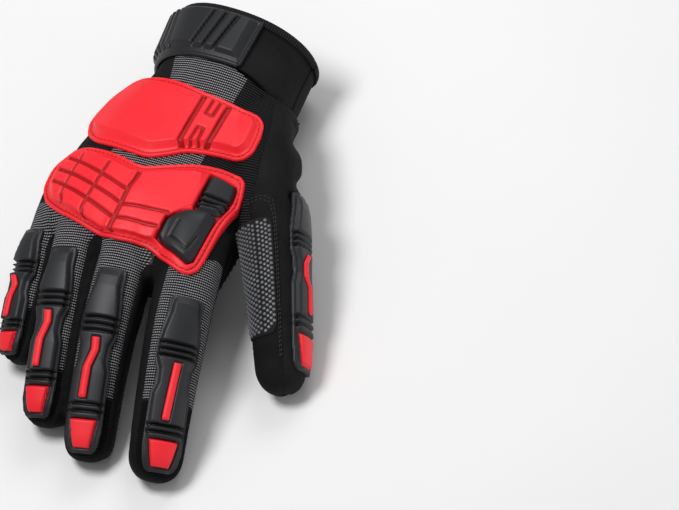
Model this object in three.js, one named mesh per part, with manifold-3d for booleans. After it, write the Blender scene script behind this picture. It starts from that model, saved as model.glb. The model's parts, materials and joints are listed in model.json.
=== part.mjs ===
import * as THREE from "three";
import { mergeVertices } from "three/addons/utils/BufferGeometryUtils.js";
import Module from "manifold-3d";

const wasm = await Module();
wasm.setup();

// Shared sizes in millimetres
const GAP = 0.3;
const SHEET_GAP = 0.6;
const HAND_WALL = 2;
const CUFF_WALL = 2.6;
const WRIST_Y = 22;
const CUFF_END_Y = 53.5;
const CUFF_SLANT = -0.04;
const GRIP_THICKNESS = 0.9;
const GRIP_FLOOR = GRIP_THICKNESS + GAP;
const PAD_THICKNESS = 3.5;
const ORIGIN_SHIFT = { x: -17.2, y: 47.3 };
const PLATE_FLANGE = 1.6;
const PLATE_TOP = 4;
const PLATE_INSET = 3.2;
const GROOVE_DEPTH = 1;
const GROOVE_WIDTH = 1.6;
const GUARD_EDGE = 1.3;
const GUARD_TOP = 3;
const STRIPE_RISE = 1;
const CLOSURE_THICKNESS = 3.2;
const BINDING_THICKNESS = 1;
const BINDING_HEIGHT = 5;

// Rounding of the finger section and of the hand section
const FINGER_POWER = 0.85;
const HAND_POWER = 0.78;
const FINGER_SIDES = 12;
const HAND_SIDES = 18;
const CURL_POWER = 1.7;
const FINGER_STATIONS = [0, 0.36, 0.68, 1];
const BAND_STATIONS = [0.36, 0.68];
const TIP_ANGLES = [42, 74];
const TIP_POWER = 0.75;

// Fingers: root and tip are centre points, bow is the sideways swing at half length,
// width and depth are taken at root, half length and tip, floor is the height it rests at
const FINGERS = {
  index: { root: [25, -53, 36], tip: [44.5, -152, 10.8], bow: 0, roll: 26,
    width: [29, 28, 25], depth: [28, 25, 21], floor: 0 },
  middle: { root: [-3, -48, 39], tip: [10.5, -151.5, 10.7], bow: -1.6, roll: 4,
    width: [28, 26, 23.5], depth: [28, 24, 18.5], floor: GRIP_FLOOR },
  ring: { root: [-30, -46, 36], tip: [-15, -141, 11.4], bow: -0.6, roll: -9,
    width: [27, 24.5, 22.5], depth: [27, 24, 20], floor: GRIP_FLOOR },
  pinky: { root: [-46.8, -42, 27.2], tip: [-41, -115, 11], bow: -1, roll: -27,
    width: [24, 21.5, 19.5], depth: [24, 21.5, 18], floor: GRIP_FLOOR },
  thumb: { root: [19, 8, 26], tip: [79.5, -95, 12], middle: [46.5, -31, 28], roll: 80,
    width: [40, 28, 24], depth: [44, 30, 21], floor: 0 },
};

// Hand sections from the wrist to the knuckles: plan edges, underside, back and slant
const HAND_SECTIONS = [
  { y: 22, left: -38, right: 31, under: 3.5, back: 52, slant: 0, drop: 7 },
  { y: 12, left: -45, right: 38, under: 3.3, back: 50, slant: 0, drop: 10 },
  { y: 0, left: -54, right: 44, under: 3.3, back: 50, slant: 0, drop: 11 },
  { y: -25, left: -57, right: 42, under: 3.6, back: 51, slant: -0.03, drop: 8 },
  { y: -45, left: -57, right: 40, under: 6, back: 52, slant: -0.06, drop: 5 },
  { y: -62, left: -56.5, right: 41, under: 10, back: 51, slant: -0.1, drop: 5 },
  { y: -74, left: -54, right: 40, under: 14, back: 47, slant: -0.14, drop: 5 },
  { y: -79, left: -48, right: 34, under: 20, back: 41, slant: -0.15, drop: 5 },
];

const degrees = THREE.MathUtils.degToRad;
const mix = THREE.MathUtils.lerp;
const point = (x, y, z) => new THREE.Vector3(x, y, z);

// Value of a root, half-length and tip triple at a share of the length
function along([root, half, tip], share) {
  const t = Math.min(share, 1);
  return t < 0.5 ? mix(root, half, t * 2) : mix(half, tip, t * 2 - 1);
}

// Centre of a finger at a share of its length
function fingerCentre(finger, share) {
  const root = point(...finger.root);
  const tip = point(...finger.tip);
  if (finger.middle) {
    const knee = point(...finger.middle).multiplyScalar(2);
    knee.addScaledVector(root, -0.5).addScaledVector(tip, -0.5);
    return root.multiplyScalar((1 - share) ** 2).addScaledVector(knee, 2 * share * (1 - share))
      .addScaledVector(tip, share ** 2);
  }
  const centre = root.clone().lerp(tip, share);
  centre.x += finger.bow * 4 * share * (1 - share);
  centre.z = root.z + (tip.z - root.z) * Math.max(share, 0) ** CURL_POWER;
  return centre;
}

// Local frame of a finger: side points toward the thumb, face points out of the back
function fingerFrame(finger, share) {
  const t = Math.min(share, 1);
  const centre = fingerCentre(finger, t);
  const ahead = fingerCentre(finger, t + 0.01).sub(fingerCentre(finger, Math.max(t - 0.01, 0))).normalize();
  const up = point(Math.sin(degrees(finger.roll)), 0, Math.cos(degrees(finger.roll)));
  const side = new THREE.Vector3().crossVectors(ahead, up).negate().normalize();
  const face = new THREE.Vector3().crossVectors(side, ahead).normalize();
  if (face.dot(up) < 0) face.negate();
  const halfWidth = along(finger.width, t) / 2;
  const halfDepth = along(finger.depth, t) / 2;
  return { centre, ahead, side, face, halfWidth, halfDepth };
}

const rounded = (value, power) => Math.sign(value) * Math.abs(value) ** power;

// Point on a finger: reach runs 0 to 1 along it and 1 to 2 over the round end
function fingerPoint(finger, reach, angle, offset) {
  const frame = fingerFrame(finger, reach);
  const over = degrees(90 * Math.max(reach - 1, 0));
  const shrink = Math.cos(over) ** TIP_POWER;
  const across = rounded(Math.cos(angle), FINGER_POWER) * (frame.halfWidth + offset) * shrink;
  const out = rounded(Math.sin(angle), FINGER_POWER) * (frame.halfDepth + offset) * shrink;
  const place = frame.centre.clone().addScaledVector(frame.side, across).addScaledVector(frame.face, out)
    .addScaledVector(frame.ahead, Math.sin(over) * (frame.halfWidth + offset));
  place.z = Math.max(place.z, finger.floor - offset);
  return place;
}

function ringOf(count, place) {
  return Array.from({ length: count }, (_, step) => place((step / count) * 2 * Math.PI));
}

// Closed solid through rings of equal point counts, with a fan at each end
function loft(rings) {
  const count = rings[0].length;
  const positions = rings.flat().flatMap((p) => [p.x, p.y, p.z]);
  const faces = [];
  for (let row = 0; row + 1 < rings.length; row += 1) {
    for (let step = 0; step < count; step += 1) {
      const a = row * count + step;
      const b = row * count + ((step + 1) % count);
      faces.push(a, b, b + count, a, b + count, a + count);
    }
  }
  [0, rings.length - 1].forEach((row) => {
    const middle = new THREE.Vector3();
    rings[row].forEach((p) => middle.add(p));
    middle.divideScalar(count);
    const hub = positions.length / 3;
    positions.push(middle.x, middle.y, middle.z);
    for (let step = 0; step < count; step += 1) {
      const a = row * count + step;
      const b = row * count + ((step + 1) % count);
      faces.push(...(row === 0 ? [hub, b, a] : [hub, a, b]));
    }
  });
  const geometry = new THREE.BufferGeometry();
  geometry.setAttribute("position", new THREE.BufferAttribute(new Float32Array(positions), 3));
  geometry.setIndex(faces);
  return asSolid(geometry);
}

// Solid of a geometry for cutting and joining, turned the right way out
function asSolid(source) {
  const geometry = source.clone();
  geometry.deleteAttribute("normal");
  geometry.deleteAttribute("uv");
  const merged = mergeVertices(geometry, 1e-4);
  const vertProperties = merged.attributes.position.array;
  const triVerts = new Uint32Array(merged.index.array);
  const solid = new wasm.Manifold(new wasm.Mesh({ numProp: 3, vertProperties, triVerts }));
  if (solid.volume() > 0) return solid;
  const turned = triVerts.slice();
  for (let face = 0; face < turned.length; face += 3) {
    [turned[face + 1], turned[face + 2]] = [turned[face + 2], turned[face + 1]];
  }
  return new wasm.Manifold(new wasm.Mesh({ numProp: 3, vertProperties, triVerts: turned }));
}

function fingerSolid(finger, offset) {
  const reaches = [...FINGER_STATIONS, ...TIP_ANGLES.map((angle) => 1 + angle / 90)];
  const ringAt = (reach) => ringOf(FINGER_SIDES, (angle) => fingerPoint(finger, reach, angle, offset));
  return loft(reaches.map(ringAt));
}

// Point on a hand section; the pinky side of the back falls away by the section's drop
function handPoint(section, angle, offset) {
  const centreX = (section.left + section.right) / 2;
  const centreZ = (section.under + section.back) / 2;
  const halfWidth = (section.right - section.left) / 2 + offset;
  const halfHeight = (section.back - section.under) / 2 + offset;
  const x = rounded(Math.cos(angle), HAND_POWER) * halfWidth;
  const z = rounded(Math.sin(angle), HAND_POWER) * halfHeight;
  const share = x / halfWidth;
  const fall = section.drop * share ** 2 * (share < 0 ? 1 : 0.55) * (z > 0 ? 1 : 0.25);
  return point(centreX + x, section.y + section.slant * x, centreZ + z - fall);
}

function handSolid(offset, wristExtra = 0) {
  const [wrist, ...others] = HAND_SECTIONS;
  const sections = [{ ...wrist, y: wrist.y + wristExtra }, ...others];
  return loft(sections.map((section) => ringOf(HAND_SIDES, (angle) => {
    const place = handPoint(section, angle, offset);
    place.y += section.y < HAND_SECTIONS.at(-2).y ? -offset : 0;
    return place;
  })));
}

function bodySolid(offset, wristExtra = 0) {
  const fingers = Object.values(FINGERS).map((finger) => fingerSolid(finger, offset));
  return fingers.reduce((whole, finger) => whole.add(finger), handSolid(offset, wristExtra));
}

// Band that follows a finger: half its height is a share of the depth, with room on both sides
const BAND_SHARE = 0.42;
const BAND_ROOM = 3;
function fingerBand(finger, from, halfHeight, halfWide) {
  const corners = [[1, 1], [-1, 1], [-1, -1], [1, -1]];
  const ring = (frame, advance) => corners.map(([across, out]) => frame.centre.clone()
    .addScaledVector(frame.side, across * halfWide(frame))
    .addScaledVector(frame.face, out * halfHeight(frame))
    .addScaledVector(frame.ahead, advance));
  const reaches = [from, ...BAND_STATIONS.filter((reach) => reach > from)];
  const rings = reaches.map((reach) => ring(fingerFrame(finger, reach), 0));
  const end = fingerFrame(finger, 1);
  rings.push(ring(end, end.halfWidth + BAND_ROOM));
  return loft(rings);
}

// Prism over a plan outline between two heights
function prism(outline, low, high) {
  const shape = new THREE.Shape(outline.map(([x, y]) => new THREE.Vector2(x, y)));
  const geometry = new THREE.ExtrudeGeometry(shape, { depth: high - low, bevelEnabled: false });
  geometry.translate(0, 0, low);
  return asSolid(geometry);
}

// Plan outline drawn in by the same distance on every side of its box
function drawnIn(outline, distance) {
  const box = new THREE.Box2().setFromPoints(outline.map(([x, y]) => new THREE.Vector2(x, y)));
  const centre = box.getCenter(new THREE.Vector2());
  const size = box.getSize(new THREE.Vector2());
  return outline.map(([x, y]) => [
    centre.x + (x - centre.x) * (1 - (2 * distance) / size.x),
    centre.y + (y - centre.y) * (1 - (2 * distance) / size.y),
  ]);
}

// Plan strip of even width along a line of points
function strip(line, width) {
  const points = line.map(([x, y]) => new THREE.Vector2(x, y));
  const sides = points.map((p, row) => {
    const before = points[Math.max(row - 1, 0)];
    const after = points[Math.min(row + 1, points.length - 1)];
    const run = after.clone().sub(before).normalize();
    return new THREE.Vector2(-run.y, run.x).multiplyScalar(width / 2);
  });
  const left = points.map((p, row) => p.clone().add(sides[row]));
  const right = points.map((p, row) => p.clone().sub(sides[row])).reverse();
  return [...left, ...right].map((p) => [p.x, p.y]);
}

function joined(solids) {
  return solids.reduce((whole, next) => whole.add(next));
}

const bigPieces = (solid, least) => solid.decompose().filter((piece) => piece.volume() > least);
const centreOf = (solid) => {
  const { min, max } = solid.boundingBox();
  return point((min[0] + max[0]) / 2, (min[1] + max[1]) / 2, (min[2] + max[2]) / 2);
};

// Hand shell
const LONG_FINGERS = ["index", "middle", "ring", "pinky"].map((name) => FINGERS[name]);
const bodyInner = bodySolid(-HAND_WALL, 2 * HAND_WALL);
const handOnly = joined([handSolid(0), ...LONG_FINGERS.map((finger) => fingerSolid(finger, 0))]);
const handClear = handSolid(GAP).add(fingerSolid(FINGERS.index, GAP));
const handShell = handOnly.subtract(bodyInner);
const thumbShell = fingerSolid(FINGERS.thumb, 0).subtract(bodyInner).subtract(handClear);

// Seam between the back and the palm along the sides of the hand
const SEAM_ROWS = [
  { y: 60, left: 24, right: 24 },
  { y: -20, left: 24, right: 26 },
  { y: -56, left: 25, right: 35 },
];
const SEAM_HALF_WIDTH = 80;
const seamSheetPlace = (column, { y, left, right }, offset) => (
  point(column * SEAM_HALF_WIDTH, y, mix(left, right, (column + 1) / 2) + offset));
const bandHeight = (frame) => frame.halfDepth * BAND_SHARE;
const bandWidth = (frame) => frame.halfWidth + BAND_ROOM;
const BAND_LEAD = 0.006;
const sideBands = joined(LONG_FINGERS.map((finger) => fingerBand(finger, -BAND_LEAD, bandHeight, bandWidth)));
const bandCores = joined(LONG_FINGERS.map((finger) => fingerBand(finger, 0,
  (frame) => bandHeight(frame) - GAP, (frame) => bandWidth(frame) - GAP)));

// Closed sheet over a grid of places, from a low offset to a top offset
function sheet(columns, rows, place, low, top) {
  const grid = (offsetAt) => rows.map((row) => (
    columns.map((column) => place(column, row, offsetAt(column, row)))));
  const inner = grid(() => low).flat();
  const outer = grid(top).flat();
  const positions = [...inner, ...outer].flatMap((p) => [p.x, p.y, p.z]);
  const wide = columns.length;
  const lift = inner.length;
  const faces = [];
  const quad = (a, b, c, d) => faces.push(a, b, c, a, c, d);
  for (let row = 0; row + 1 < rows.length; row += 1) {
    for (let column = 0; column + 1 < wide; column += 1) {
      const a = row * wide + column;
      quad(a, a + wide, a + wide + 1, a + 1);
      quad(a + lift, a + 1 + lift, a + wide + 1 + lift, a + wide + lift);
    }
    const left = row * wide;
    const right = left + wide - 1;
    quad(left, left + lift, left + wide + lift, left + wide);
    quad(right, right + wide, right + wide + lift, right + lift);
  }
  for (let column = 0; column + 1 < wide; column += 1) {
    const last = (rows.length - 1) * wide + column;
    quad(column, column + 1, column + 1 + lift, column + lift);
    quad(last, last + lift, last + 1 + lift, last + 1);
  }
  const geometry = new THREE.BufferGeometry();
  geometry.setAttribute("position", new THREE.BufferAttribute(new Float32Array(positions), 3));
  geometry.setIndex(faces);
  return asSolid(geometry);
}

// Thin cuts along a finger: across its width between the back and the inside,
// or upright through the round end
const SLIT_ROOM = 6;
const SLIT_REACHES = [0, 0.2, 0.4, 0.6, 0.8, 1];
function flatSlit(finger) {
  const place = (column, reach, offset) => {
    const frame = fingerFrame(finger, reach);
    const beyond = Math.max(reach - 1, 0) * (frame.halfWidth + SLIT_ROOM);
    return frame.centre.clone().addScaledVector(frame.side, column * (frame.halfWidth + SLIT_ROOM))
      .addScaledVector(frame.face, offset).addScaledVector(frame.ahead, beyond);
  };
  return sheet([-1, 1], [...SLIT_REACHES, 2], place, -GAP / 2, () => GAP / 2);
}
function endSlit(finger) {
  const place = (column, reach, offset) => {
    const frame = fingerFrame(finger, reach);
    const beyond = Math.max(reach - 1, 0) * (frame.halfWidth + SLIT_ROOM);
    return frame.centre.clone().addScaledVector(frame.face, column * frame.halfDepth)
      .addScaledVector(frame.side, offset).addScaledVector(frame.ahead, beyond);
  };
  return sheet([-1, 1], [0.84, 1, 2], place, -GAP / 2, () => GAP / 2);
}
const tipSlits = joined(LONG_FINGERS.map(endSlit));
const seamSheet = sheet([-1, 1], SEAM_ROWS, seamSheetPlace, -GAP / 2, () => GAP / 2);

// Materials
const matte = (color, roughness) => (
  new THREE.MeshStandardMaterial({ color, roughness, metalness: 0, side: THREE.DoubleSide }));
const GREY_KNIT = matte("#8f8f93", 0.95);
const BLACK_KNIT = matte("#26262a", 0.95);
const BLACK_SUEDE = matte("#1c1c1c", 0.9);
const BLACK_NEOPRENE = matte("#1a1a1c", 0.85);
const BLACK_RUBBER = matte("#36373a", 0.45);
const RED_RUBBER = matte("#fa3340", 0.4);
const GRIP_SILICONE = matte("#4a4a4e", 0.55);
const RED_WEBBING = matte("#d81f2c", 0.85);

const group = new THREE.Group();
const byVolume = (one, other) => other.volume() - one.volume();
function addMesh(name, solid, material) {
  const [whole] = new wasm.Manifold(solid.getMesh()).decompose().sort(byVolume);
  const { numProp, vertProperties, triVerts } = whole.getMesh();
  const count = vertProperties.length / numProp;
  const positions = new Float32Array(count * 3);
  for (let row = 0; row < count; row += 1) {
    positions.set(vertProperties.subarray(row * numProp, row * numProp + 3), row * 3);
  }
  const geometry = new THREE.BufferGeometry();
  geometry.setAttribute("position", new THREE.BufferAttribute(positions, 3));
  geometry.setIndex(new THREE.BufferAttribute(triVerts, 1));
  geometry.translate(ORIGIN_SHIFT.x, ORIGIN_SHIFT.y, 0);
  geometry.computeVertexNormals();
  const mesh = new THREE.Mesh(geometry, material);
  mesh.name = name;
  group.add(mesh);
}

// Back and palm panels, finger strips and finger side walls
const SLIVER_VOLUME = 60;
const BACK_LOW = 20;
const ABOVE_ALL = 80;
const GUSSET_SEAM = [[9, 30], [14, 21], [30, 15], [38, -4], [42, -24], [60, -40]];
const FINGER_SEAM = [[-85, -73], [70, -96]];
const FROM_PINKY = ["pinky", "ring", "middle", "index"];
const SIDE_NAMES = ["side_pinky", "fourchette_ring_pinky", "fourchette_middle_ring",
  "fourchette_index_middle", "side_index"];
const isFinger = (piece) => centreOf(piece).y < FINGER_SEAM[0][1];
const byX = (one, other) => centreOf(one).x - centreOf(other).x;
const byHeight = (one, other) => centreOf(other).z - centreOf(one).z;
const fingerSlit = prism(strip(FINGER_SEAM, GAP), -GAP, ABOVE_ALL);
const gussetSlit = prism(strip(GUSSET_SEAM, GAP), BACK_LOW, ABOVE_ALL);
const halves = bigPieces(handShell.subtract(sideBands).subtract(seamSheet), SLIVER_VOLUME).sort(byHeight);
const backs = bigPieces(halves[0].subtract(gussetSlit).subtract(fingerSlit), SLIVER_VOLUME).sort(byVolume);
const palms = bigPieces(halves[1].subtract(fingerSlit), SLIVER_VOLUME).sort(byVolume);
const sides = bigPieces(handShell.intersect(bandCores).subtract(tipSlits), SLIVER_VOLUME).sort(byX);
const [backPanel, ...backRest] = backs;
addMesh("back_panel", backPanel, GREY_KNIT);
addMesh("back_gusset", backRest.find((piece) => !isFinger(piece)), BLACK_NEOPRENE);
addMesh("palm_panel", palms[0], BLACK_SUEDE);
backs.filter(isFinger).sort(byX).forEach((piece, row) => (
  addMesh(`finger_back_${FROM_PINKY[row]}`, piece, GREY_KNIT)));
palms.filter(isFinger).sort(byX).forEach((piece, row) => (
  addMesh(`finger_palm_${FROM_PINKY[row]}`, piece, BLACK_SUEDE)));
sides.forEach((piece, row) => addMesh(SIDE_NAMES[row], piece, BLACK_KNIT));

// Thumb: the outer half carries the guard, the inner half faces the fingers
const thumbSlit = flatSlit(FINGERS.thumb);
const [thumbInner, thumbOuter] = bigPieces(thumbShell.subtract(thumbSlit), SLIVER_VOLUME).sort(byX);
addMesh("thumb_outer", thumbOuter, BLACK_NEOPRENE);
addMesh("thumb_inner", thumbInner, BLACK_NEOPRENE);

// Plates on the back: a stitched flange with a raised field and cut grooves
const bodyClear = bodySolid(GAP);
const plateBase = (offset) => handSolid(offset).add(fingerSolid(FINGERS.index, offset));
const flangeLayer = plateBase(PLATE_FLANGE).subtract(bodyClear);
const fieldLayer = plateBase(PLATE_TOP).subtract(bodyClear);
const grooveLayer = plateBase(PLATE_TOP + GROOVE_DEPTH).subtract(plateBase(PLATE_TOP - GROOVE_DEPTH));
const overBack = (outline) => prism(outline, BACK_LOW, ABOVE_ALL);
function plate(outline, grooves) {
  const flange = flangeLayer.intersect(overBack(outline));
  const field = fieldLayer.intersect(overBack(drawnIn(outline, PLATE_INSET)));
  const cuts = joined(grooves.map((line) => overBack(strip(line, GROOVE_WIDTH))));
  return flange.add(field).subtract(grooveLayer.intersect(cuts));
}
const HAND_GUARD_OUTLINE = [[-36, 11], [-45, 4], [-50, -12], [-47, -20], [-38, -26], [-9, -31],
  [6, -21], [30, -17], [35, -13], [33, 3], [27, 7], [11, 10], [0, 12], [-23, 14]];
const HAND_GUARD_GROOVES = [[[1, 9], [0, -14], [3, -20]], [[12, 8], [12, -18]]];
addMesh("hand_guard", plate(HAND_GUARD_OUTLINE, HAND_GUARD_GROOVES), RED_RUBBER);
const KNUCKLE_GUARD_OUTLINE = [[-46, -30], [-54, -40], [-56, -50], [-52, -57], [-46, -61], [-34, -67],
  [-9, -73], [-2, -75], [9, -71], [14, -73], [32, -83], [37, -82], [40, -77], [38, -29], [33, -24],
  [26, -23], [15, -25], [1, -30], [-9, -36], [-27, -32]];
const KNUCKLE_GUARD_GROOVES = [[[-52, -37], [-10, -48]], [[-52, -44], [-10, -57]], [[-52, -50], [-10, -64]],
  [[-41, -33], [-43, -60]], [[-25, -36], [-26, -66]], [[-8, -37], [-9, -70]]];
const INSERT_UPPER = [[24, -28], [33, -28], [33, -44], [23, -46]];
const INSERT_LOWER = [[13, -56], [24, -50], [34, -49], [35, -74], [32, -78], [13, -67]];
const insertWindow = overBack(drawnIn(INSERT_UPPER, -GAP)).add(overBack(drawnIn(INSERT_LOWER, -GAP)));
const knuckleGuard = plate(KNUCKLE_GUARD_OUTLINE, KNUCKLE_GUARD_GROOVES).subtract(insertWindow);
addMesh("knuckle_guard", knuckleGuard, RED_RUBBER);
const INSERT_RIB_LINES = [[[20, -37], [36, -36]], [[20, -40], [36, -39]], [[20, -43], [36, -42]]];
const insertGrooves = joined(INSERT_RIB_LINES.map((line) => overBack(strip(line, GROOVE_WIDTH))));
const insertCuts = grooveLayer.intersect(insertGrooves);
const upperInsert = fieldLayer.intersect(overBack(INSERT_UPPER)).subtract(insertCuts);
addMesh("knuckle_insert_upper", upperInsert, BLACK_RUBBER);
addMesh("knuckle_insert_lower", fieldLayer.intersect(overBack(INSERT_LOWER)), BLACK_RUBBER);

// Finger guards: share of the length, half width and height of each row
const RIB_VALLEY = 1.8;
const ribRows = (from, to, count, half) => Array.from({ length: 2 * count + 1 }, (_, step) => (
  [mix(from, to, step / (2 * count)), half, step % 2 ? GUARD_TOP : RIB_VALLEY]));
const GUARD_ROWS = [
  [0, 5.5, 1.6], [0.04, 7, GUARD_TOP], [0.28, 7.8, GUARD_TOP], [0.34, 6.8, GUARD_TOP],
  ...ribRows(0.38, 0.48, 2, 6.6),
  [0.52, 7.2, GUARD_TOP], [0.6, 7.2, GUARD_TOP], [0.68, 5.8, GUARD_TOP], [0.9, 7, GUARD_TOP],
  ...ribRows(0.93, 1, 2, 7),
];
const TIP_ROWS = [[0, 6.6, 2.2], [0.12, 6.6, 2.8], [0.6, 5.2, 2.8], [0.88, 4.4, 2.6], [1, 4.2, 1.6]];
const GUARD_COLUMNS = [-1, -0.6, 0.6, 1];
const STRIPE_HALF_WIDTH = 1.5;
const STRIPE_ROWS = [[0.52, 0.7], [0.62, 1], [0.72, -1], [0.88, -1.2]];
const GUARD_REACHES = {
  index: { guard: [0.36, 0.945], tip: [0.96, 1.42], zigzag: 0 },
  middle: { guard: [0.35, 0.945], tip: [0.96, 1.45], zigzag: 1 },
  ring: { guard: [0.34, 0.95], tip: [0.965, 1.45], zigzag: 1 },
  pinky: { guard: [0.36, 0.95], tip: [0.97, 1.45], zigzag: 1 },
  thumb: { guard: [0.45, 0.94], tip: [0.955, 1.35], zigzag: 0.6 },
};
// Place on the back of a finger at a distance to its side
const WIDEST_SHARE = 0.98;
function backPlace(finger, reach, across, offset) {
  const { halfWidth } = fingerFrame(finger, reach);
  const share = THREE.MathUtils.clamp(across / halfWidth, -WIDEST_SHARE, WIDEST_SHARE);
  const angle = Math.acos(rounded(share, 1 / FINGER_POWER));
  return fingerPoint(finger, reach, angle, offset);
}
for (const [name, { guard, tip, zigzag }] of Object.entries(GUARD_REACHES)) {
  const finger = FINGERS[name];
  const fit = finger.width[1] / FINGERS.middle.width[1];
  const rowPlace = ([from, to]) => (column, [share, half], offset) => (
    backPlace(finger, mix(from, to, share), column * half * fit, offset));
  const height = (column, row) => (Math.abs(column) === 1 ? Math.min(GUARD_EDGE, row[2]) : row[2]) + GAP;
  const block = sheet(GUARD_COLUMNS, GUARD_ROWS, rowPlace(guard), SHEET_GAP, height);
  addMesh(`guard_${name}`, block, BLACK_RUBBER);
  const cap = sheet(GUARD_COLUMNS, TIP_ROWS, rowPlace(tip), SHEET_GAP, height);
  addMesh(`guard_tip_${name}`, cap, RED_RUBBER);
  const stripePlace = (column, [share, swing], offset) => (
    backPlace(finger, mix(...guard, share), (column + swing * zigzag) * STRIPE_HALF_WIDTH, offset));
  const stripeLow = GUARD_TOP + 2 * GAP;
  const stripe = sheet([-1, 1], STRIPE_ROWS, stripePlace, stripeLow, () => stripeLow + STRIPE_RISE);
  addMesh(`guard_stripe_${name}`, stripe, RED_RUBBER);
}

// Silicone grips under three fingertips, on the palm and on the thumb
const LEAST_GRIP_VOLUME = 5;
const TIP_GRIP_REACHES = [0.62, 0.82, 1, 1.25, 1.5];
const TIP_GRIP_ANGLES = [220, 244, 270, 296, 320];
for (const name of ["middle", "ring", "pinky"]) {
  const place = (angle, reach, offset) => fingerPoint(FINGERS[name], reach, degrees(angle), offset);
  const grip = sheet(TIP_GRIP_ANGLES, TIP_GRIP_REACHES, place, SHEET_GAP, () => GAP + GRIP_THICKNESS);
  addMesh(`grip_${name}`, grip, GRIP_SILICONE);
}
const THUMB_GRIP_ANGLES = [160, 185, 210, 240];
const THUMB_GRIP_REACHES = [0.58, 0.68, 0.79, 0.9];
const thumbGripPlace = (angle, reach, offset) => fingerPoint(FINGERS.thumb, reach, degrees(angle), offset);
const thumbGripTop = () => SHEET_GAP + GRIP_THICKNESS;
const thumbGrip = sheet(THUMB_GRIP_ANGLES, THUMB_GRIP_REACHES, thumbGripPlace, SHEET_GAP, thumbGripTop);
addMesh("grip_thumb", bigPieces(thumbGrip.subtract(handClear), LEAST_GRIP_VOLUME)[0], GRIP_SILICONE);
const PALM_HIGH = 24;
const underPalm = (outline) => prism(outline, 0, PALM_HIGH);
const PALM_GRIP_OUTLINE = [[-53, -62], [-42, -72], [-37, -71], [-31, -62], [-24, -78], [-13, -80], [-3, -71],
  [4, -80], [16, -80], [24, -69], [29, -78], [40, -80], [38, -44], [27, -42], [20, -46], [8, -46],
  [0, -42], [-12, -44], [-22, -44], [-28, -40], [-50, -42]];
const gripLayer = bodySolid(GAP + GRIP_THICKNESS).subtract(bodySolid(GAP));
const palmGrip = bigPieces(gripLayer.intersect(underPalm(PALM_GRIP_OUTLINE)), LEAST_GRIP_VOLUME);
addMesh("grip_palm", palmGrip[0], GRIP_SILICONE);

// Padded heel of the palm
const HEEL_PADS = {
  heel_pad_pinky: [[-45, -33], [-30, -36], [-26, -32], [-9, -31], [-5.5, 8], [-30, 9], [-37, -2]],
  heel_pad_thumb: [[0, -32], [20, -33], [26, -37], [34, -37], [38, -28], [38, -16], [33, 1], [28, 7],
    [6, 8], [3, 5]],
};
const handAndThumb = (offset) => handSolid(offset).add(fingerSolid(FINGERS.thumb, offset));
const padLayer = handAndThumb(GAP + PAD_THICKNESS).subtract(handAndThumb(GAP));
for (const [name, outline] of Object.entries(HEEL_PADS)) {
  const [pad] = bigPieces(padLayer.intersect(underPalm(outline)), LEAST_GRIP_VOLUME);
  addMesh(name, pad, BLACK_SUEDE);
}

// Cuff: sleeve, edge binding, moulded closure and pull tab
const CUFF_SIDES = 20;
const RIM_SECTION = { left: -41, right: 29.5, under: 3.5, back: 52.5, drop: 7 };
function cuffPlace(angle, y, offset) {
  const share = (y - WRIST_Y) / (CUFF_END_Y - WRIST_Y);
  const blend = (key) => mix(HAND_SECTIONS[0][key], RIM_SECTION[key], share);
  const section = { y, slant: CUFF_SLANT * share, left: blend("left"), right: blend("right"),
    under: blend("under"), back: blend("back"), drop: blend("drop") };
  return handPoint(section, angle, offset);
}
// Open tube between two offsets of the cuff surface
function cuffTube(from, to, low, top) {
  const corners = [[from, top], [to, top], [to, low], [from, low]];
  const rings = corners.map(([y, offset]) => ringOf(CUFF_SIDES, (angle) => cuffPlace(angle, y, offset)));
  const positions = rings.flat().flatMap((p) => [p.x, p.y, p.z]);
  const faces = [];
  rings.forEach((ring, row) => ring.forEach((_, step) => {
    const a = row * CUFF_SIDES + step;
    const b = row * CUFF_SIDES + ((step + 1) % CUFF_SIDES);
    const next = (((row + 1) % rings.length) - row) * CUFF_SIDES;
    faces.push(a, b, b + next, a, b + next, a + next);
  }));
  const geometry = new THREE.BufferGeometry();
  geometry.setAttribute("position", new THREE.BufferAttribute(new Float32Array(positions), 3));
  geometry.setIndex(faces);
  return asSolid(geometry);
}
const cuffStart = WRIST_Y + GAP;
addMesh("cuff", cuffTube(cuffStart, CUFF_END_Y, -CUFF_WALL, 0), BLACK_NEOPRENE);
const bindingStart = CUFF_END_Y - BINDING_HEIGHT;
const bindingEnd = CUFF_END_Y + BINDING_THICKNESS;
const binding = cuffTube(bindingStart, bindingEnd, GAP, GAP + BINDING_THICKNESS);
addMesh("cuff_binding", binding, BLACK_KNIT);
const CLOSURE_EDGE = 1.4;
const CLOSURE_ANGLES = [80, 84, 100, 116, 132, 148, 164, 180, 196, 212, 222, 226];
const CLOSURE_ROWS = [WRIST_Y + 1.5, WRIST_Y + 3.5, bindingStart - 3, bindingStart - 1];
const atEdge = (list, value) => value === list[0] || value === list.at(-1);
const closurePlace = (angle, y, offset) => cuffPlace(degrees(angle), y, offset);
const closureTop = (angle, y) => (
  atEdge(CLOSURE_ANGLES, angle) || atEdge(CLOSURE_ROWS, y) ? GAP + CLOSURE_EDGE : GAP + CLOSURE_THICKNESS);
const closure = sheet(CLOSURE_ANGLES, CLOSURE_ROWS, closurePlace, SHEET_GAP, closureTop);
addMesh("closure_tab", closure, BLACK_RUBBER);

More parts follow.
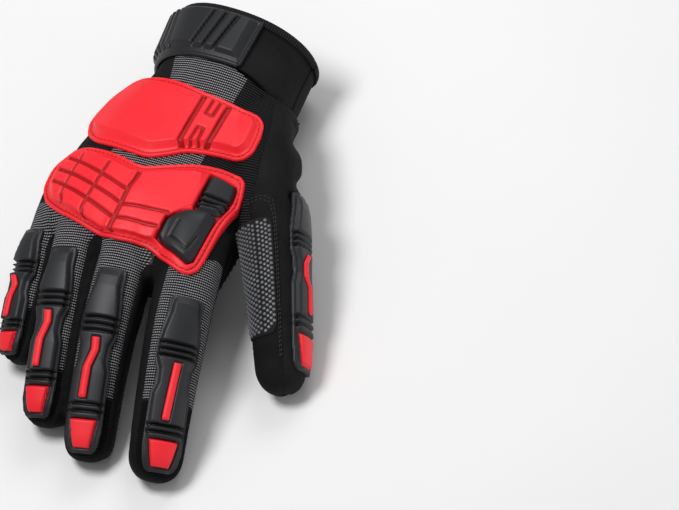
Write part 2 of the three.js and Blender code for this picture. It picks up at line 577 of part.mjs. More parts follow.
// Flat strap under the wrist: distance along the cuff and height of its underside
const TAB_WIDTH = 16;
const TAB_THICKNESS = 1.6;
const TAB_CENTRE_X = 2;
const TAB_REACH = 18;
const TAB_ROWS = [[WRIST_Y + 2, 1.5], [bindingStart - 4, 1.5], [bindingStart, 0.2],
  [CUFF_END_Y + TAB_REACH, 0]];
const TAB_CORNERS = [[0.5, 0], [0.5, 1], [-0.5, 1], [-0.5, 0]];
const tabRing = ([y, low]) => TAB_CORNERS.map(([across, up]) => (
  point(TAB_CENTRE_X + across * TAB_WIDTH, y, low + up * TAB_THICKNESS)));
addMesh("pull_tab", loft(TAB_ROWS.map(tabRing)), RED_WEBBING);

export default group;
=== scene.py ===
import json
import math

import bpy
import numpy as np
from mathutils import Matrix, Vector, noise
from mathutils.bvhtree import BVHTree

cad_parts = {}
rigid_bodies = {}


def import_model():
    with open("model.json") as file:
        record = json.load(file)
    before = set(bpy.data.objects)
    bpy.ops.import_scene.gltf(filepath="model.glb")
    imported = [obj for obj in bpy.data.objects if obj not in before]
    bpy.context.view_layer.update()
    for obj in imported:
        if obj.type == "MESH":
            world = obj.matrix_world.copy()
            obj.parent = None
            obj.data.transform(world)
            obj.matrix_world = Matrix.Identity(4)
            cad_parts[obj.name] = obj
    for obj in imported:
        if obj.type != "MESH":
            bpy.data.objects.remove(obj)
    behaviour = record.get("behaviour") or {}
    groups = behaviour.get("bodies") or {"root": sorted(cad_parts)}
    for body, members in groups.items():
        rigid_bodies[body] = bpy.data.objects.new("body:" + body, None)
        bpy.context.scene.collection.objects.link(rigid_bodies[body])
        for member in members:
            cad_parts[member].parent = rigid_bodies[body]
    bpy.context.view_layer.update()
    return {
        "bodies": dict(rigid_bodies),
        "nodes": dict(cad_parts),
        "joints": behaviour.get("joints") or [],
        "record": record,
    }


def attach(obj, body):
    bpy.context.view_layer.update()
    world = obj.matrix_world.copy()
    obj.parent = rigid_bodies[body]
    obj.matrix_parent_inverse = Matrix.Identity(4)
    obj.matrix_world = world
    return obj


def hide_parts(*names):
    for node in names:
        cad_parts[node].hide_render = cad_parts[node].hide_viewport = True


# Lengths are millimetres in the glove's own frame: fingers toward -Y, thumb toward +X, floor at z 0
MM = 0.001
ORIGIN_SHIFT = np.array([-17.2, 47.3, 0.0])
WRIST_Y = 22.0
RIM_Y = 53.5
CUFF_SLANT = -0.04
CLOTH = 1.8
FINGER_POWER = 0.85
HAND_POWER = 0.78
CURL_POWER = 1.7
TIP_POWER = 0.75
BAND_SHARE = 0.42

FINGERS = {
    "index": dict(root=(25, -53, 36), tip=(44.5, -152, 10.8), bow=0, roll=26,
                  width=(29, 28, 25), depth=(28, 25, 21), floor=0, twist=12, slot=0.25, grey=0.8),
    "middle": dict(root=(-3, -48, 39), tip=(10.5, -151.5, 10.7), bow=-1.6, roll=4,
                   width=(28, 26, 23.5), depth=(28, 24, 18.5), floor=1.2, twist=-10, slot=0.25, grey=0.86),
    "ring": dict(root=(-30, -46, 36), tip=(-15, -141, 11.4), bow=-0.6, roll=-9,
                 width=(27, 24.5, 22.5), depth=(27, 24, 20), floor=1.2, twist=-16, slot=0.35, grey=0.87),
    "pinky": dict(root=(-46.8, -42, 27.2), tip=(-41, -115, 11), bow=-1, roll=-27,
                  width=(24, 21.5, 19.5), depth=(24, 21.5, 18), floor=1.2, twist=-16, slot=0.35, grey=0.82),
    "thumb": dict(root=(19, 8, 26), tip=(79.5, -95, 12), middle=(46.5, -31, 28), roll=80,
                  width=(40, 28, 24), depth=(44, 30, 21), floor=0, twist=0, slot=0, grey=0),
}
LONG_FINGERS = ("index", "middle", "ring", "pinky")

# Hand sections: y, left, right, under, back, slant, drop
HAND_SECTIONS = np.array([
    (-79, -48, 34, 20, 41, -0.15, 5),
    (-74, -54, 40, 14, 47, -0.14, 5),
    (-62, -56.5, 41, 10, 51, -0.1, 5),
    (-45, -57, 40, 6, 52, -0.06, 5),
    (-25, -57, 42, 3.6, 51, -0.03, 8),
    (0, -54, 44, 3.3, 50, 0, 11),
    (12, -45, 38, 3.3, 50, 0, 10),
    (22, -38, 31, 3.5, 52, 0, 7),
    (36, -38, 31, 3.5, 52, 0, 7),
])
RIM_SECTION = np.array((-41, 29.5, 3.5, 52.5, 0, 7))
HAND_STEP = 1.5
SECTION_PASSES = 8


# Small helpers
def unit(vectors):
    return vectors / np.linalg.norm(vectors, axis=-1, keepdims=True)


def dot(a, b):
    return (a * b).sum(-1)


def smooth(value, low, high):
    t = np.clip((value - low) / (high - low), 0, 1)
    return t * t * (3 - 2 * t)


def bell(value, middle, reach):
    return np.exp(-(((value - middle) / reach) ** 2))


def rounded(value, power):
    return np.sign(value) * np.abs(value) ** power


def even_rows(table, step, passes):
    ys = np.arange(table[0, 0], table[-1, 0] + step / 2, step)
    rows = np.stack([np.interp(ys, table[:, 0], column) for column in table.T[1:]], 1)
    for _ in range(passes):
        rows[1:-1] = rows[1:-1] / 2 + (rows[:-2] + rows[2:]) / 4
    return ys, rows


HAND_YS, HAND_ROWS = even_rows(HAND_SECTIONS, HAND_STEP, SECTION_PASSES)


def section_at(y):
    return [np.interp(y, HAND_YS, column) for column in HAND_ROWS.T]


# Point of a section: the sides of the back fall away by the section's drop
def section_point(section, y, angle, offset):
    left, right, under, back, slant, drop = section
    half_width = (right - left) / 2 + offset
    half_height = (back - under) / 2 + offset
    x = rounded(np.cos(angle), HAND_POWER) * half_width
    z = rounded(np.sin(angle), HAND_POWER) * half_height
    share = x / half_width
    fall = drop * share**2 * np.where(share < 0, 1, 0.55) * np.where(z > 0, 1, 0.25)
    return np.stack([(left + right) / 2 + x, y + slant * x, (under + back) / 2 + z - fall], -1)


def hand_point(y, angle, offset):
    return section_point(section_at(y), y, angle, offset)


# The cuff's lower edge rises over the back of the wrist, between these angles
CUFF_ARCH = 4.2
CUFF_ARCH_TURNS = (30, 75, 190, 225)
CUFF_ARCH_TOP_Y = 31.0
WRIST_CENTRE = (-3.5, 28.0)


def cuff_arch(angle):
    turn = np.degrees(angle) % 360
    first, full, fall, last = CUFF_ARCH_TURNS
    return CUFF_ARCH * smooth(turn, first, full) * (1 - smooth(turn, fall, last))


def cuff_point(angle, y, offset):
    share = (y - WRIST_Y) / (RIM_Y - WRIST_Y)
    wrist = HAND_SECTIONS[-2, 1:]
    section = [wrist[k] + (RIM_SECTION[k] - wrist[k]) * share for k in range(6)]
    section[4] = CUFF_SLANT * share
    return section_point(section, y, angle, offset)


def finger_centre(finger, share):
    t = np.asarray(share, float)[..., None]
    root = np.array(finger["root"], float)
    tip = np.array(finger["tip"], float)
    if "middle" in finger:
        knee = 2 * np.array(finger["middle"], float) - (root + tip) / 2
        return (1 - t) ** 2 * root + 2 * t * (1 - t) * knee + t**2 * tip
    centre = root + (tip - root) * t
    centre[..., 0] += finger["bow"] * 4 * (t * (1 - t))[..., 0]
    centre[..., 2] = root[2] + (tip[2] - root[2]) * t[..., 0] ** CURL_POWER
    return centre

# Length run along a line at each of its points
def run_along(line):
    return np.concatenate([[0], np.cumsum(np.linalg.norm(np.diff(line, axis=0), axis=1))])


def finger_length(finger):
    return float(run_along(finger_centre(finger, np.linspace(0, 1, 60)))[-1])


# Local frame of a finger: side points toward the thumb, face points out of the back
def finger_frame(finger, share):
    t = np.clip(share, 0, 1)
    centre = finger_centre(finger, t)
    nose = finger_centre(finger, np.minimum(t + 0.01, 1)) - finger_centre(finger, np.maximum(t - 0.01, 0))
    ahead = unit(nose)
    roll = math.radians(finger["roll"])
    up = np.array((math.sin(roll), 0, math.cos(roll)))
    side = unit(-np.cross(ahead, up))
    face = np.cross(side, ahead)
    face = face * np.sign(dot(face, up))[..., None]
    half_width = np.interp(t, (0, 0.5, 1), finger["width"]) / 2
    half_depth = np.interp(t, (0, 0.5, 1), finger["depth"]) / 2
    return centre, ahead, side, face, half_width, half_depth


# Point on a finger: reach runs 0 to 1 along it and 1 to 2 over the round end
def finger_point(finger, reach, angle, offset):
    centre, ahead, side, face, half_width, half_depth = finger_frame(finger, reach)
    over = np.radians(90 * np.clip(reach - 1, 0, 1))
    shrink = np.cos(over) ** TIP_POWER
    across = rounded(np.cos(angle), FINGER_POWER) * (half_width + offset) * shrink
    out = rounded(np.sin(angle), FINGER_POWER) * (half_depth + offset) * shrink
    nose = np.sin(over) * (half_width + offset)
    place = centre + side * across[..., None] + face * out[..., None] + ahead * nose[..., None]
    place[..., 2] = np.maximum(place[..., 2], finger["floor"] - offset)
    return place


# A skin is a mesh as arrays: co the corners, tri the triangles, f the values carried on the corners
def skin_of(co, tri, **fields):
    return {"co": co, "tri": tri, "f": fields}


def joined(skins):
    starts = np.cumsum([0] + [len(skin["co"]) for skin in skins])
    tri = np.concatenate([skin["tri"] + start for skin, start in zip(skins, starts)])
    fields = {name: np.concatenate([skin["f"][name] for skin in skins]) for name in skins[0]["f"]}
    return skin_of(np.concatenate([skin["co"] for skin in skins]), tri, **fields)


# Triangles between the corners of a grid, or of a tube whose rows close on themselves
def grid_triangles(ids):
    quads = np.stack([ids[:-1, :-1], ids[:-1, 1:], ids[1:, 1:], ids[1:, :-1]], -1).reshape(-1, 4)
    return np.concatenate([quads[:, :3], quads[:, [0, 2, 3]]])


def tube_triangles(ids):
    return grid_triangles(np.concatenate([ids, ids[:, :1]], axis=1))


# Two ranges as a grid: the values of both at each corner, and its triangles
def grid(first, second):
    rows, columns = np.meshgrid(first, second, indexing="ij")
    return rows.ravel(), columns.ravel(), grid_triangles(np.arange(rows.size).reshape(rows.shape))


def turns(count):
    return np.linspace(0, 2 * math.pi, count, endpoint=False)


def loft(rings):
    rows, count, _ = rings.shape
    ids = np.arange(rows * count).reshape(rows, count)
    first = np.full(count, rows * count)
    ends = [np.stack([np.roll(ids[0], -1), ids[0], first], -1),
            np.stack([ids[-1], np.roll(ids[-1], -1), first + 1], -1)]
    co = np.concatenate([rings.reshape(-1, 3), [rings[0].mean(0)], [rings[-1].mean(0)]])
    return skin_of(co, np.concatenate([tube_triangles(ids), *ends]))


def new_object(name, co, faces):
    mesh = bpy.data.meshes.new(name)
    mesh.vertices.add(len(co))
    mesh.vertices.foreach_set("co", np.asarray(co, np.float32).ravel())
    sides = faces.shape[1]
    mesh.loops.add(faces.size)
    mesh.loops.foreach_set("vertex_index", faces.astype(np.int32).ravel())
    mesh.polygons.add(len(faces))
    mesh.polygons.foreach_set("loop_start", np.arange(0, faces.size, sides, dtype=np.int32))
    mesh.update(calc_edges=True)
    mesh.validate()
    obj = bpy.data.objects.new(name, mesh)
    bpy.context.scene.collection.objects.link(obj)
    return obj


def arrays_of(obj):
    shown = obj.evaluated_get(bpy.context.evaluated_depsgraph_get())
    mesh = shown.to_mesh()
    co = np.zeros(len(mesh.vertices) * 3, np.float32)
    mesh.vertices.foreach_get("co", co)
    mesh.calc_loop_triangles()
    tri = np.zeros(len(mesh.loop_triangles) * 3, np.int32)
    mesh.loop_triangles.foreach_get("vertices", tri)
    shown.to_mesh_clear()
    return co.reshape(-1, 3).astype(float), tri.reshape(-1, 3)


def corner_normals(co, tri):
    a, b, c = co[tri[:, 0]], co[tri[:, 1]], co[tri[:, 2]]
    face = np.cross(b - a, c - a)
    total = np.zeros_like(co)
    for corner in range(3):
        np.add.at(total, tri[:, corner], face)
    return total / np.maximum(np.linalg.norm(total, axis=1, keepdims=True), 1e-12)


# Part of a mesh where a value on its corners is above zero, cut along the zero line
def clip(skin, value):
    co, tri = skin["co"], skin["tri"]
    value = np.where(np.abs(value) < 1e-5, 1e-5, value)
    inside = value[tri] > 0
    count = inside.sum(1)
    parts = [tri[count == 3]]
    cuts = {}
    for wanted in (1, 2):
        rows = tri[count == wanted]
        flags = inside[count == wanted]
        odd = np.argmax(flags if wanted == 1 else ~flags, axis=1)
        order = (odd[:, None] + np.arange(3)) % 3
        cuts[wanted] = np.take_along_axis(rows, order, 1)
    edges = np.concatenate([cuts[1][:, [0, 1]], cuts[1][:, [0, 2]], cuts[2][:, [0, 1]], cuts[2][:, [0, 2]]])
    if len(edges) == 0:
        return compact(skin, parts[0])
    low, high = edges.min(1), edges.max(1)
    keys, where = np.unique(low.astype(np.int64) * len(co) + high, return_inverse=True)
    where = where.reshape(-1)
    a, b = keys // len(co), keys % len(co)
    share = value[a] / (value[a] - value[b])

    def between(data):
        t = share.reshape(-1, *([1] * (data.ndim - 1)))
        return np.concatenate([data, data[a] * (1 - t) + data[b] * t])

    ones, twos = len(cuts[1]), len(cuts[2])
    new = where + len(co)
    first, second = new[:ones], new[ones:2 * ones]
    third, fourth = new[2 * ones:2 * ones + twos], new[2 * ones + twos:]
    parts.append(np.stack([cuts[1][:, 0], first, second], -1))
    parts.append(np.stack([cuts[2][:, 1], cuts[2][:, 2], fourth], -1))
    parts.append(np.stack([cuts[2][:, 1], fourth, third], -1))
    fields = {name: between(data) for name, data in skin["f"].items()}
    return compact(skin_of(between(co), tri, **fields), np.concatenate(parts))


def compact(skin, tri):
    used, new = np.unique(tri, return_inverse=True)
    fields = {name: data[used] for name, data in skin["f"].items()}
    return skin_of(skin["co"][used], new.reshape(-1, 3), **fields)


def border_edges(tri):
    edges = np.concatenate([tri[:, [0, 1]], tri[:, [1, 2]], tri[:, [2, 0]]])
    key = np.sort(edges, 1)
    _, index, count = np.unique(key, axis=0, return_index=True, return_counts=True)
    return edges[index[count == 1]]


# Closed solid between a top skin and the same skin moved to a bottom place
def closed(skin, bottom):
    count = len(skin["co"])
    edge = border_edges(skin["tri"])
    wall = np.concatenate([
        np.stack([edge[:, 1], edge[:, 0], edge[:, 0] + count], -1),
        np.stack([edge[:, 1], edge[:, 0] + count, edge[:, 1] + count], -1)])
    tri = np.concatenate([skin["tri"], skin["tri"][:, ::-1] + count, wall])
    fields = {name: np.concatenate([data, data]) for name, data in skin["f"].items()}
    return skin_of(np.concatenate([skin["co"], bottom]), tri, **fields)


# Closed piece between a top and a bottom place of each corner, kept where a value is above zero
def solid(top, bottom, tri, value, **fields):
    skin = clip(skin_of(top, tri, bottom=bottom, **fields), value)
    return closed(skin, skin["f"].pop("bottom"))


def add_skin(name, skin):
    obj = new_object(name, (skin["co"] + ORIGIN_SHIFT) * MM, skin["tri"])
    mesh = obj.data
    mesh.polygons.foreach_set("use_smooth", np.ones(len(mesh.polygons), bool))
    for key, data in skin["f"].items():
        if data.ndim == 2:
            layer = mesh.attributes.new(key, "FLOAT_VECTOR", "POINT")
            layer.data.foreach_set("vector", data.astype(np.float32).ravel())
        else:
            layer = mesh.attributes.new(key, "FLOAT", "POINT")
            layer.data.foreach_set("value", data.astype(np.float32))
    return obj


# Plan outlines
def chaikin(outline, times=2, share=0.25):
    points = np.array(outline, float)
    for _ in range(times):
        after = np.roll(points, -1, axis=0)
        points = np.stack([points * (1 - share) + after * share, points * share + after * (1 - share)], 1)
        points = points.reshape(-1, 2)
    return points


def segment_distance(points, a, b):
    run = b - a
    t = np.clip(((points - a) @ run) / max(run @ run, 1e-9), 0, 1)
    return np.linalg.norm(points - a - t[:, None] * run, axis=1)


def line_distance(points, line):
    line = np.array(line, float)
    return np.min([segment_distance(points, a, b) for a, b in zip(line[:-1], line[1:])], axis=0)


# Distance to an outline, positive inside it
def inside_distance(points, outline):
    distance = np.full(len(points), 1e9)
    inside = np.zeros(len(points), bool)
    for a, b in zip(outline, np.roll(outline, -1, axis=0)):
        distance = np.minimum(distance, segment_distance(points, a, b))
        crosses = (a[1] > points[:, 1]) != (b[1] > points[:, 1])
        rise = b[1] - a[1] if abs(b[1] - a[1]) > 1e-9 else 1e-9
        inside ^= crosses & (points[:, 0] < (b[0] - a[0]) * (points[:, 1] - a[1]) / rise + a[0])
    return np.where(inside, distance, -distance)


# Distance into a box with round corners, from the distances to its ends and its sides
def round_box(to_end, to_side, corner):
    return corner - np.hypot(np.maximum(corner - to_end, 0), np.maximum(corner - to_side, 0))


# Groove mask: one in the middle of a line, zero beyond its width
def groove(points, line, width=1.5):
    return 1 - smooth(line_distance(points, line), width / 2 - 0.35, width / 2 + 0.3)


def grooves(points, lines, width):
    return np.max([groove(points, line, width) for line in lines], axis=0)


# Height of a facet that climbs from inside one outline to the edge of another
def facet(foot, top):
    return np.clip(foot / np.maximum(foot + np.maximum(-top, 0), 1e-6), 0, 1)


# Body: hand, fingers and thumb as one smooth outer surface
VOXEL = 1.1
SMOOTH_PASSES = 6
HAND_SIDES = 96
FINGER_SIDES = 56
MOUTH_Y = 30.0


def hand_loft():
    ys = np.arange(HAND_YS[0], MOUTH_Y, HAND_STEP)
    return loft(hand_point(ys[:, None], turns(HAND_SIDES)[None, :], 0.0))


def finger_loft(finger):
    reach = np.concatenate([np.linspace(0, 1, 64), 1 + np.linspace(0.06, 0.97, 14)])
    return loft(finger_point(finger, *np.meshgrid(reach, turns(FINGER_SIDES), indexing="ij"), 0.0))


def lofts(names):
    return joined([hand_loft()] + [finger_loft(FINGERS[name]) for name in names])


def body_surface():
    form = lofts(FINGERS)
    rough = new_object("rough_form", form["co"], form["tri"])
    remesh = rough.modifiers.new("even", "REMESH")
    remesh.mode = "VOXEL"
    remesh.voxel_size = VOXEL
    relax = rough.modifiers.new("relax", "SMOOTH")
    relax.factor = 0.5
    relax.iterations = SMOOTH_PASSES
    co, tri = arrays_of(rough)
    bpy.data.objects.remove(rough)
    a, b, c = (co[tri[:, corner]] - co.mean(0) for corner in range(3))
    return skin_of(co, tri if dot(a, np.cross(b, c)).sum() > 0 else tri[:, ::-1])


def tree_of(skin):
    return BVHTree.FromPolygons(skin["co"].tolist(), skin["tri"].tolist())


def signed_distance(tree, points):
    result = np.empty(len(points))
    for row, place in enumerate(points):
        near, normal, _, distance = tree.find_nearest(Vector(place))
        outside = (Vector(place) - near).dot(normal) > 0
        result[row] = distance if outside else -distance
    return result


# Where points lie along and around a finger
def finger_local(finger, points):
    length = finger_length(finger)
    line = finger_centre(finger, np.linspace(0, 1, 41))
    share = np.argmin(((points[:, None] - line[None]) ** 2).sum(-1), axis=1) / 40.0
    for _ in range(3):
        centre, ahead, *_ = finger_frame(finger, share)
        share = np.clip(share + dot(points - centre, ahead) / length, 0, 1)
    centre, ahead, side, face, half_width, half_depth = finger_frame(finger, share)
    offset = points - centre
    beyond = dot(offset, ahead) * ((share >= 1) | (share <= 0))
    across, out = dot(offset, side), dot(offset, face)
    power = 2 / FINGER_POWER
    ratio = np.abs(across / half_width) ** power + np.abs(out / half_depth) ** power
    ratio = np.sqrt(ratio**FINGER_POWER + (np.maximum(beyond, 0) / half_width) ** 2)
    off = np.abs(ratio - 1) * half_width + np.maximum(-beyond, 0) * 0.5
    return dict(share=share, beyond=beyond, across=across, out=out, width=half_width, depth=half_depth,
                off=off, length=length)


SEAM_ROWS = ((-56, 25, 35), (-20, 24, 26), (60, 24, 24))
SEAM_HALF_WIDTH = 80.0


def seam_height(points):
    table = np.array(SEAM_ROWS, float)
    left = np.interp(points[:, 1], table[:, 0], table[:, 1])
    right = np.interp(points[:, 1], table[:, 0], table[:, 2])
    return left + (right - left) * (points[:, 0] / SEAM_HALF_WIDTH + 1) / 2


GREY_OUTLINE = np.array([
    (-25, 32), (-20, 14), (-25, -15), (-28, -32), (-28, -52), (-44, -60), (-56, -56), (-62, -46),
    (-80, -42), (-80, -170), (70, -170), (66, -66), (42, -66), (36, -72), (28, -77), (16, -60),
    (15, -20), (14.5, 11.5), (16, 32),
], float)
GUSSET_SEAM = np.array([
    (9, 32), (14, 25), (29, 20), (35, 6), (38, -8), (41, -24), (43, -38), (60, -56),
], float)
# Soft folds on the thumb side: place, direction along the fold, half length, half width, depth
FOLDS = (
    ((36, 16, 30), (0.75, 0.1, 0.65), 16, 3.0, 1.2),
    ((40, 14, 21.7), (0.43, -0.45, 0.78), 18, 4.8, 4.0),
    ((51.5, -9, 24), (0.43, -0.45, 0.78), 14, 3.4, 2.6),
    ((50, -26, 30), (0.7, 0.35, 0.6), 22, 2.6, 2.0),
    ((33, 24, 36), (0.9, -0.1, 0.3), 14, 1.8, 1.2),
    ((-49, 8, 22), (0.3, 0.4, 0.85), 18, 2.2, 1.3),
    ((-52, -4, 20), (0.3, 0.3, 0.9), 18, 2.4, 1.1),
)
SEAM_DEPTH = 0.55
SEAM_REACH = 1.1
CLOTH_NOISE = 0.35
LONG_WAVE = 11.0
SHORT_WAVE = 5.0
TIP_FADE = 60.0
SLOT_REACH = 30.0
GUSSET_END_Y = -60.0
FAR = 1e9


def polyline_side(points, line):
    nearest = np.full(len(points), 1e9)
    result = np.zeros(len(points))
    for a, b in zip(line[:-1], line[1:]):
        distance = segment_distance(points, a, b)
        run = b - a
        cross = run[0] * (points[:, 1] - a[1]) - run[1] * (points[:, 0] - a[0])
        closer = distance < nearest - 1e-9
        nearest = np.where(closer, distance, nearest)
        result = np.where(closer, np.sign(cross) * distance, result)
    return result


# Seam of the thumb's inner piece: level with its side below, raised to the back on the upper side,
# where it turns across the thumb at a share of its length
THUMB_SEAM_RISE = 0.86
THUMB_SEAM_FROM = 0.47


def thumb_seam(local):
    depth, width = local["depth"], local["width"]
    seam = local["out"] + THUMB_SEAM_RISE * depth / width * np.minimum(local["across"], 0)
    lead = (THUMB_SEAM_FROM - local["share"]) * local["length"]
    upper = smooth(-local["across"] / width, 0.1, 0.5) * smooth(local["out"] / depth, -0.75, -0.3)
    return np.maximum(seam, np.where(upper > 0, lead - 40 * (1 - upper), -1e3))


# Side band of the long fingers: above zero between the back seam and the palm seam
BAND_LEAD = 0.6
BAND_MARGIN = 3.0


def side_band(local):
    bands = []
    for name in LONG_FINGERS:
        here, finger = local[name], FINGERS[name]
        twist = math.radians(finger["twist"])
        turned = here["out"] * math.cos(twist) + here["across"] * math.sin(twist)
        lead = here["share"] * here["length"] + np.minimum(here["beyond"], 0) + BAND_LEAD
        rise = finger["slot"] * here["depth"] * bell(np.maximum(lead, 0), 0, SLOT_REACH)
        rise = np.where(here["across"] * finger["twist"] < 0, rise, 0)
        half_band = BAND_SHARE * here["depth"] + rise / 2
        margin = here["width"] + BAND_MARGIN - np.abs(here["across"])
        bands.append(np.min([half_band - np.abs(turned - rise / 2), margin, lead], axis=0))
    return np.max(bands, axis=0)


# Corners beyond these places can't belong to the thumb
THUMB_FROM_X = 5.0
THUMB_FROM_Y = -125.0
THUMB_EASE = 1.4
NO_THUMB = -50.0


# Above zero where a corner is nearer to the thumb than to the rest of the glove
def thumb_lead(co):
    near = (co[:, 0] > THUMB_FROM_X) & (co[:, 1] > THUMB_FROM_Y)
    to_hand = signed_distance(tree_of(lofts(LONG_FINGERS)), co[near])
    to_thumb = signed_distance(tree_of(finger_loft(FINGERS["thumb"])), co[near])
    lead = np.full(len(co), NO_THUMB)
    lead[near] = (to_hand - to_thumb) / THUMB_EASE
    return lead


GREY_REACH = 6.0


def grey_area(co, local, on_hand):
    grey = inside_distance(co[:, :2], GREY_OUTLINE)
    for name in LONG_FINGERS:
        here = local[name]
        end = (FINGERS[name]["grey"] - here["share"]) * here["length"]
        end = np.where(end < 0, end * TIP_FADE, end)
        grey = np.where((here["off"] < GREY_REACH) & ~on_hand, np.minimum(grey, end), grey)
    return grey


# How the cloth coordinates go from the hand to the fingers and down the hand's sides
ROOT_BLEND = 22.0
THUMB_RADIUS = 14.0
HAND_MIDDLE_X = -8.0
SIDE_WRAP = 0.8
SIDE_WRAP_FROM = 5.0
SIDE_WRAP_REACH = 60.0


# Cloth coordinates: across and along in millimetres, and the grey area
def cloth_coordinates(co, owner, mine, thumb, on_thumb, grey):
    turn = math.pi / 2 - np.arctan2(mine["out"] / mine["depth"], mine["across"] / mine["width"])
    turn = np.where(turn > math.pi, turn - 2 * math.pi, turn)
    roots = np.array([FINGERS[name]["root"] for name in LONG_FINGERS], float)
    along = mine["share"] * mine["length"]
    finger_u = roots[owner, 0] + turn * (mine["width"] + mine["depth"]) / 2
    finger_v = -roots[owner, 1] + along + np.maximum(mine["beyond"], 0)
    below = np.clip(section_at(co[:, 1])[3] - SIDE_WRAP_FROM - co[:, 2], 0, SIDE_WRAP_REACH)
    hand_u = co[:, 0] + np.sign(co[:, 0] - HAND_MIDDLE_X) * below * SIDE_WRAP
    blend = smooth(along, 0, ROOT_BLEND)
    u = hand_u * (1 - blend) + finger_u * blend
    v = -co[:, 1] * (1 - blend) + finger_v * blend
    weave = np.stack([u, v, grey], 1)
    weave[on_thumb, 0] = np.arctan2(thumb["out"], thumb["across"])[on_thumb] * THUMB_RADIUS
    weave[on_thumb, 1] = thumb["share"][on_thumb] * thumb["length"]
    return weave


def fold_push(co, normals):
    pushed = np.zeros_like(co)
    for place, run, half_length, half_width, depth in FOLDS:
        offset = co - np.array(place, float)
        direction = unit(np.array(run, float))
        along = offset @ direction
        away = np.linalg.norm(offset - along[:, None] * direction, axis=1)
        share = np.exp(-((away / half_width) ** 2) - (along / half_length) ** 2)[:, None]
        pushed += depth * share * unit((normals * share).sum(0))
    return pushed


# The body with all values that its seams need: seams sink in, folds and soft waves follow the cloth
def body_skin():
    base = body_surface()
    co = base["co"]
    local = {name: finger_local(finger, co) for name, finger in FINGERS.items()}
    owner = np.argmin([local[name]["off"] for name in LONG_FINGERS], axis=0)
    mine = {key: np.choose(owner, [local[name][key] for name in LONG_FINGERS]) for key in local["thumb"]}
    on_hand = (mine["share"] <= 0) & (mine["beyond"] < 0)
    band = side_band(local)
    top = np.where(on_hand, co[:, 2] - seam_height(co), mine["out"])
    thumb, thumb_out = thumb_lead(co), thumb_seam(local["thumb"])
    gusset = polyline_side(co[:, :2], GUSSET_SEAM)
    weave = cloth_coordinates(co, owner, mine, local["thumb"], thumb > 0, grey_area(co, local, on_hand))

    lines = np.min([np.abs(band), np.where(band < 0, np.abs(top), FAR), np.abs(thumb),
                    np.where((top > 0) & (thumb <= 0) & (co[:, 1] > GUSSET_END_Y), np.abs(gusset), FAR),
                    np.where(thumb > 0, np.abs(thumb_out), FAR)], axis=0)
    wave = np.array([noise.noise(Vector(place) / LONG_WAVE) + 0.5 * noise.noise(Vector(place) / SHORT_WAVE)
                     for place in co])
    sink = SEAM_DEPTH * bell(lines, 0, SEAM_REACH) + CLOTH_NOISE * (0.5 + 0.5 * wave)
    normals = corner_normals(co, base["tri"])
    shaped = co - normals * sink[:, None] - fold_push(co, normals)
    skin = skin_of(shaped, base["tri"], weave=weave, band=band, top=top, thumb=thumb, thumb_out=thumb_out,
                   gusset=gusset, owner=owner.astype(float), across=mine["across"], share=mine["share"])
    return skin, tree_of(base)


# Splits the body into its sewn pieces, each on one side of its seams
SIDE_NODES = ("side_index", "fourchette_index_middle", "fourchette_middle_ring", "fourchette_ring_pinky",
              "side_pinky")
END_SPLIT = 0.84


def halves(skin, value):
    return clip(skin, value), clip(skin, -value)


def split_body(skin):
    x, y, z = skin["co"].T
    skin = clip(skin, WRIST_Y + cuff_arch(np.arctan2(z - WRIST_CENTRE[1], x - WRIST_CENTRE[0])) - y)
    thumb, hand = halves(skin, skin["f"]["thumb"])
    outer, inner = halves(thumb, thumb["f"]["thumb_out"])
    sides, rest = halves(hand, hand["f"]["band"])
    back, palm = halves(rest, rest["f"]["top"])
    gusset, back = halves(back, back["f"]["gusset"])
    return {"back_knit": back, "palm_suede": palm, "thumb_neoprene": joined([outer, gusset]),
            "thumb_inside": inner, **side_pieces(sides)}


# Each side piece joins the thumb side of one finger and the other side of the finger before it
def side_pieces(sides):
    across = sides["f"]["across"]
    plus, minus = halves(sides, np.where(sides["f"]["share"] > END_SPLIT, across, np.sign(across) * 50))
    result = {}
    for row, node in enumerate(SIDE_NODES):
        parts = [finger_part(plus, row), finger_part(minus, row - 1)]
        result[f"{node}_knit"] = joined([part for part in parts if len(part["tri"])])
    return result


def finger_part(skin, row):
    mask = np.round(skin["f"]["owner"]) == row
    return compact(skin, skin["tri"][mask[skin["tri"]].sum(1) >= 2])


# Plates and films that lie on the back or the palm
PLAN_STEP = 0.45
SINK = 0.3
WALL_DEPTH = 2.2
# Stiff plates bend less than the cloth: the ground under them falls no faster than a slope
STIFF_SLOPE = 0.55
STIFF_REACH = 14.0
STIFF_PASSES = 30
GROUND_PASSES = 6
SIDE_STEPS = ((0, 1), (2, 1), (1, 0), (1, 2))
CORNER_STEPS = ((0, 0), (2, 2), (2, 0), (0, 2))


def neighbours(field, steps):
    padded = np.pad(field, 1, mode="edge")
    rows, columns = field.shape
    return [padded[row:row + rows, column:column + columns] for row, column in steps]


def softened(field, passes):
    for _ in range(passes):
        field = field / 2 + sum(neighbours(field, SIDE_STEPS)) / 8
    return field


def stiffened(field, step):
    for _ in range(int(STIFF_REACH / step)):
        around = [np.max(neighbours(field, steps), axis=0) - STIFF_SLOPE * run * step
                  for run, steps in ((1.0, SIDE_STEPS), (1.414, CORNER_STEPS))]
        field = np.max([field, *around], axis=0)
    return softened(field, STIFF_PASSES)


# Place and normal where a plumb ray meets a mesh, looking down (direction -1) or up (direction 1)
def plumb(tree, x, y, direction):
    return tree.ray_cast(Vector((x, y, 90 if direction < 0 else -20)), Vector((0, 0, direction)))[:2]


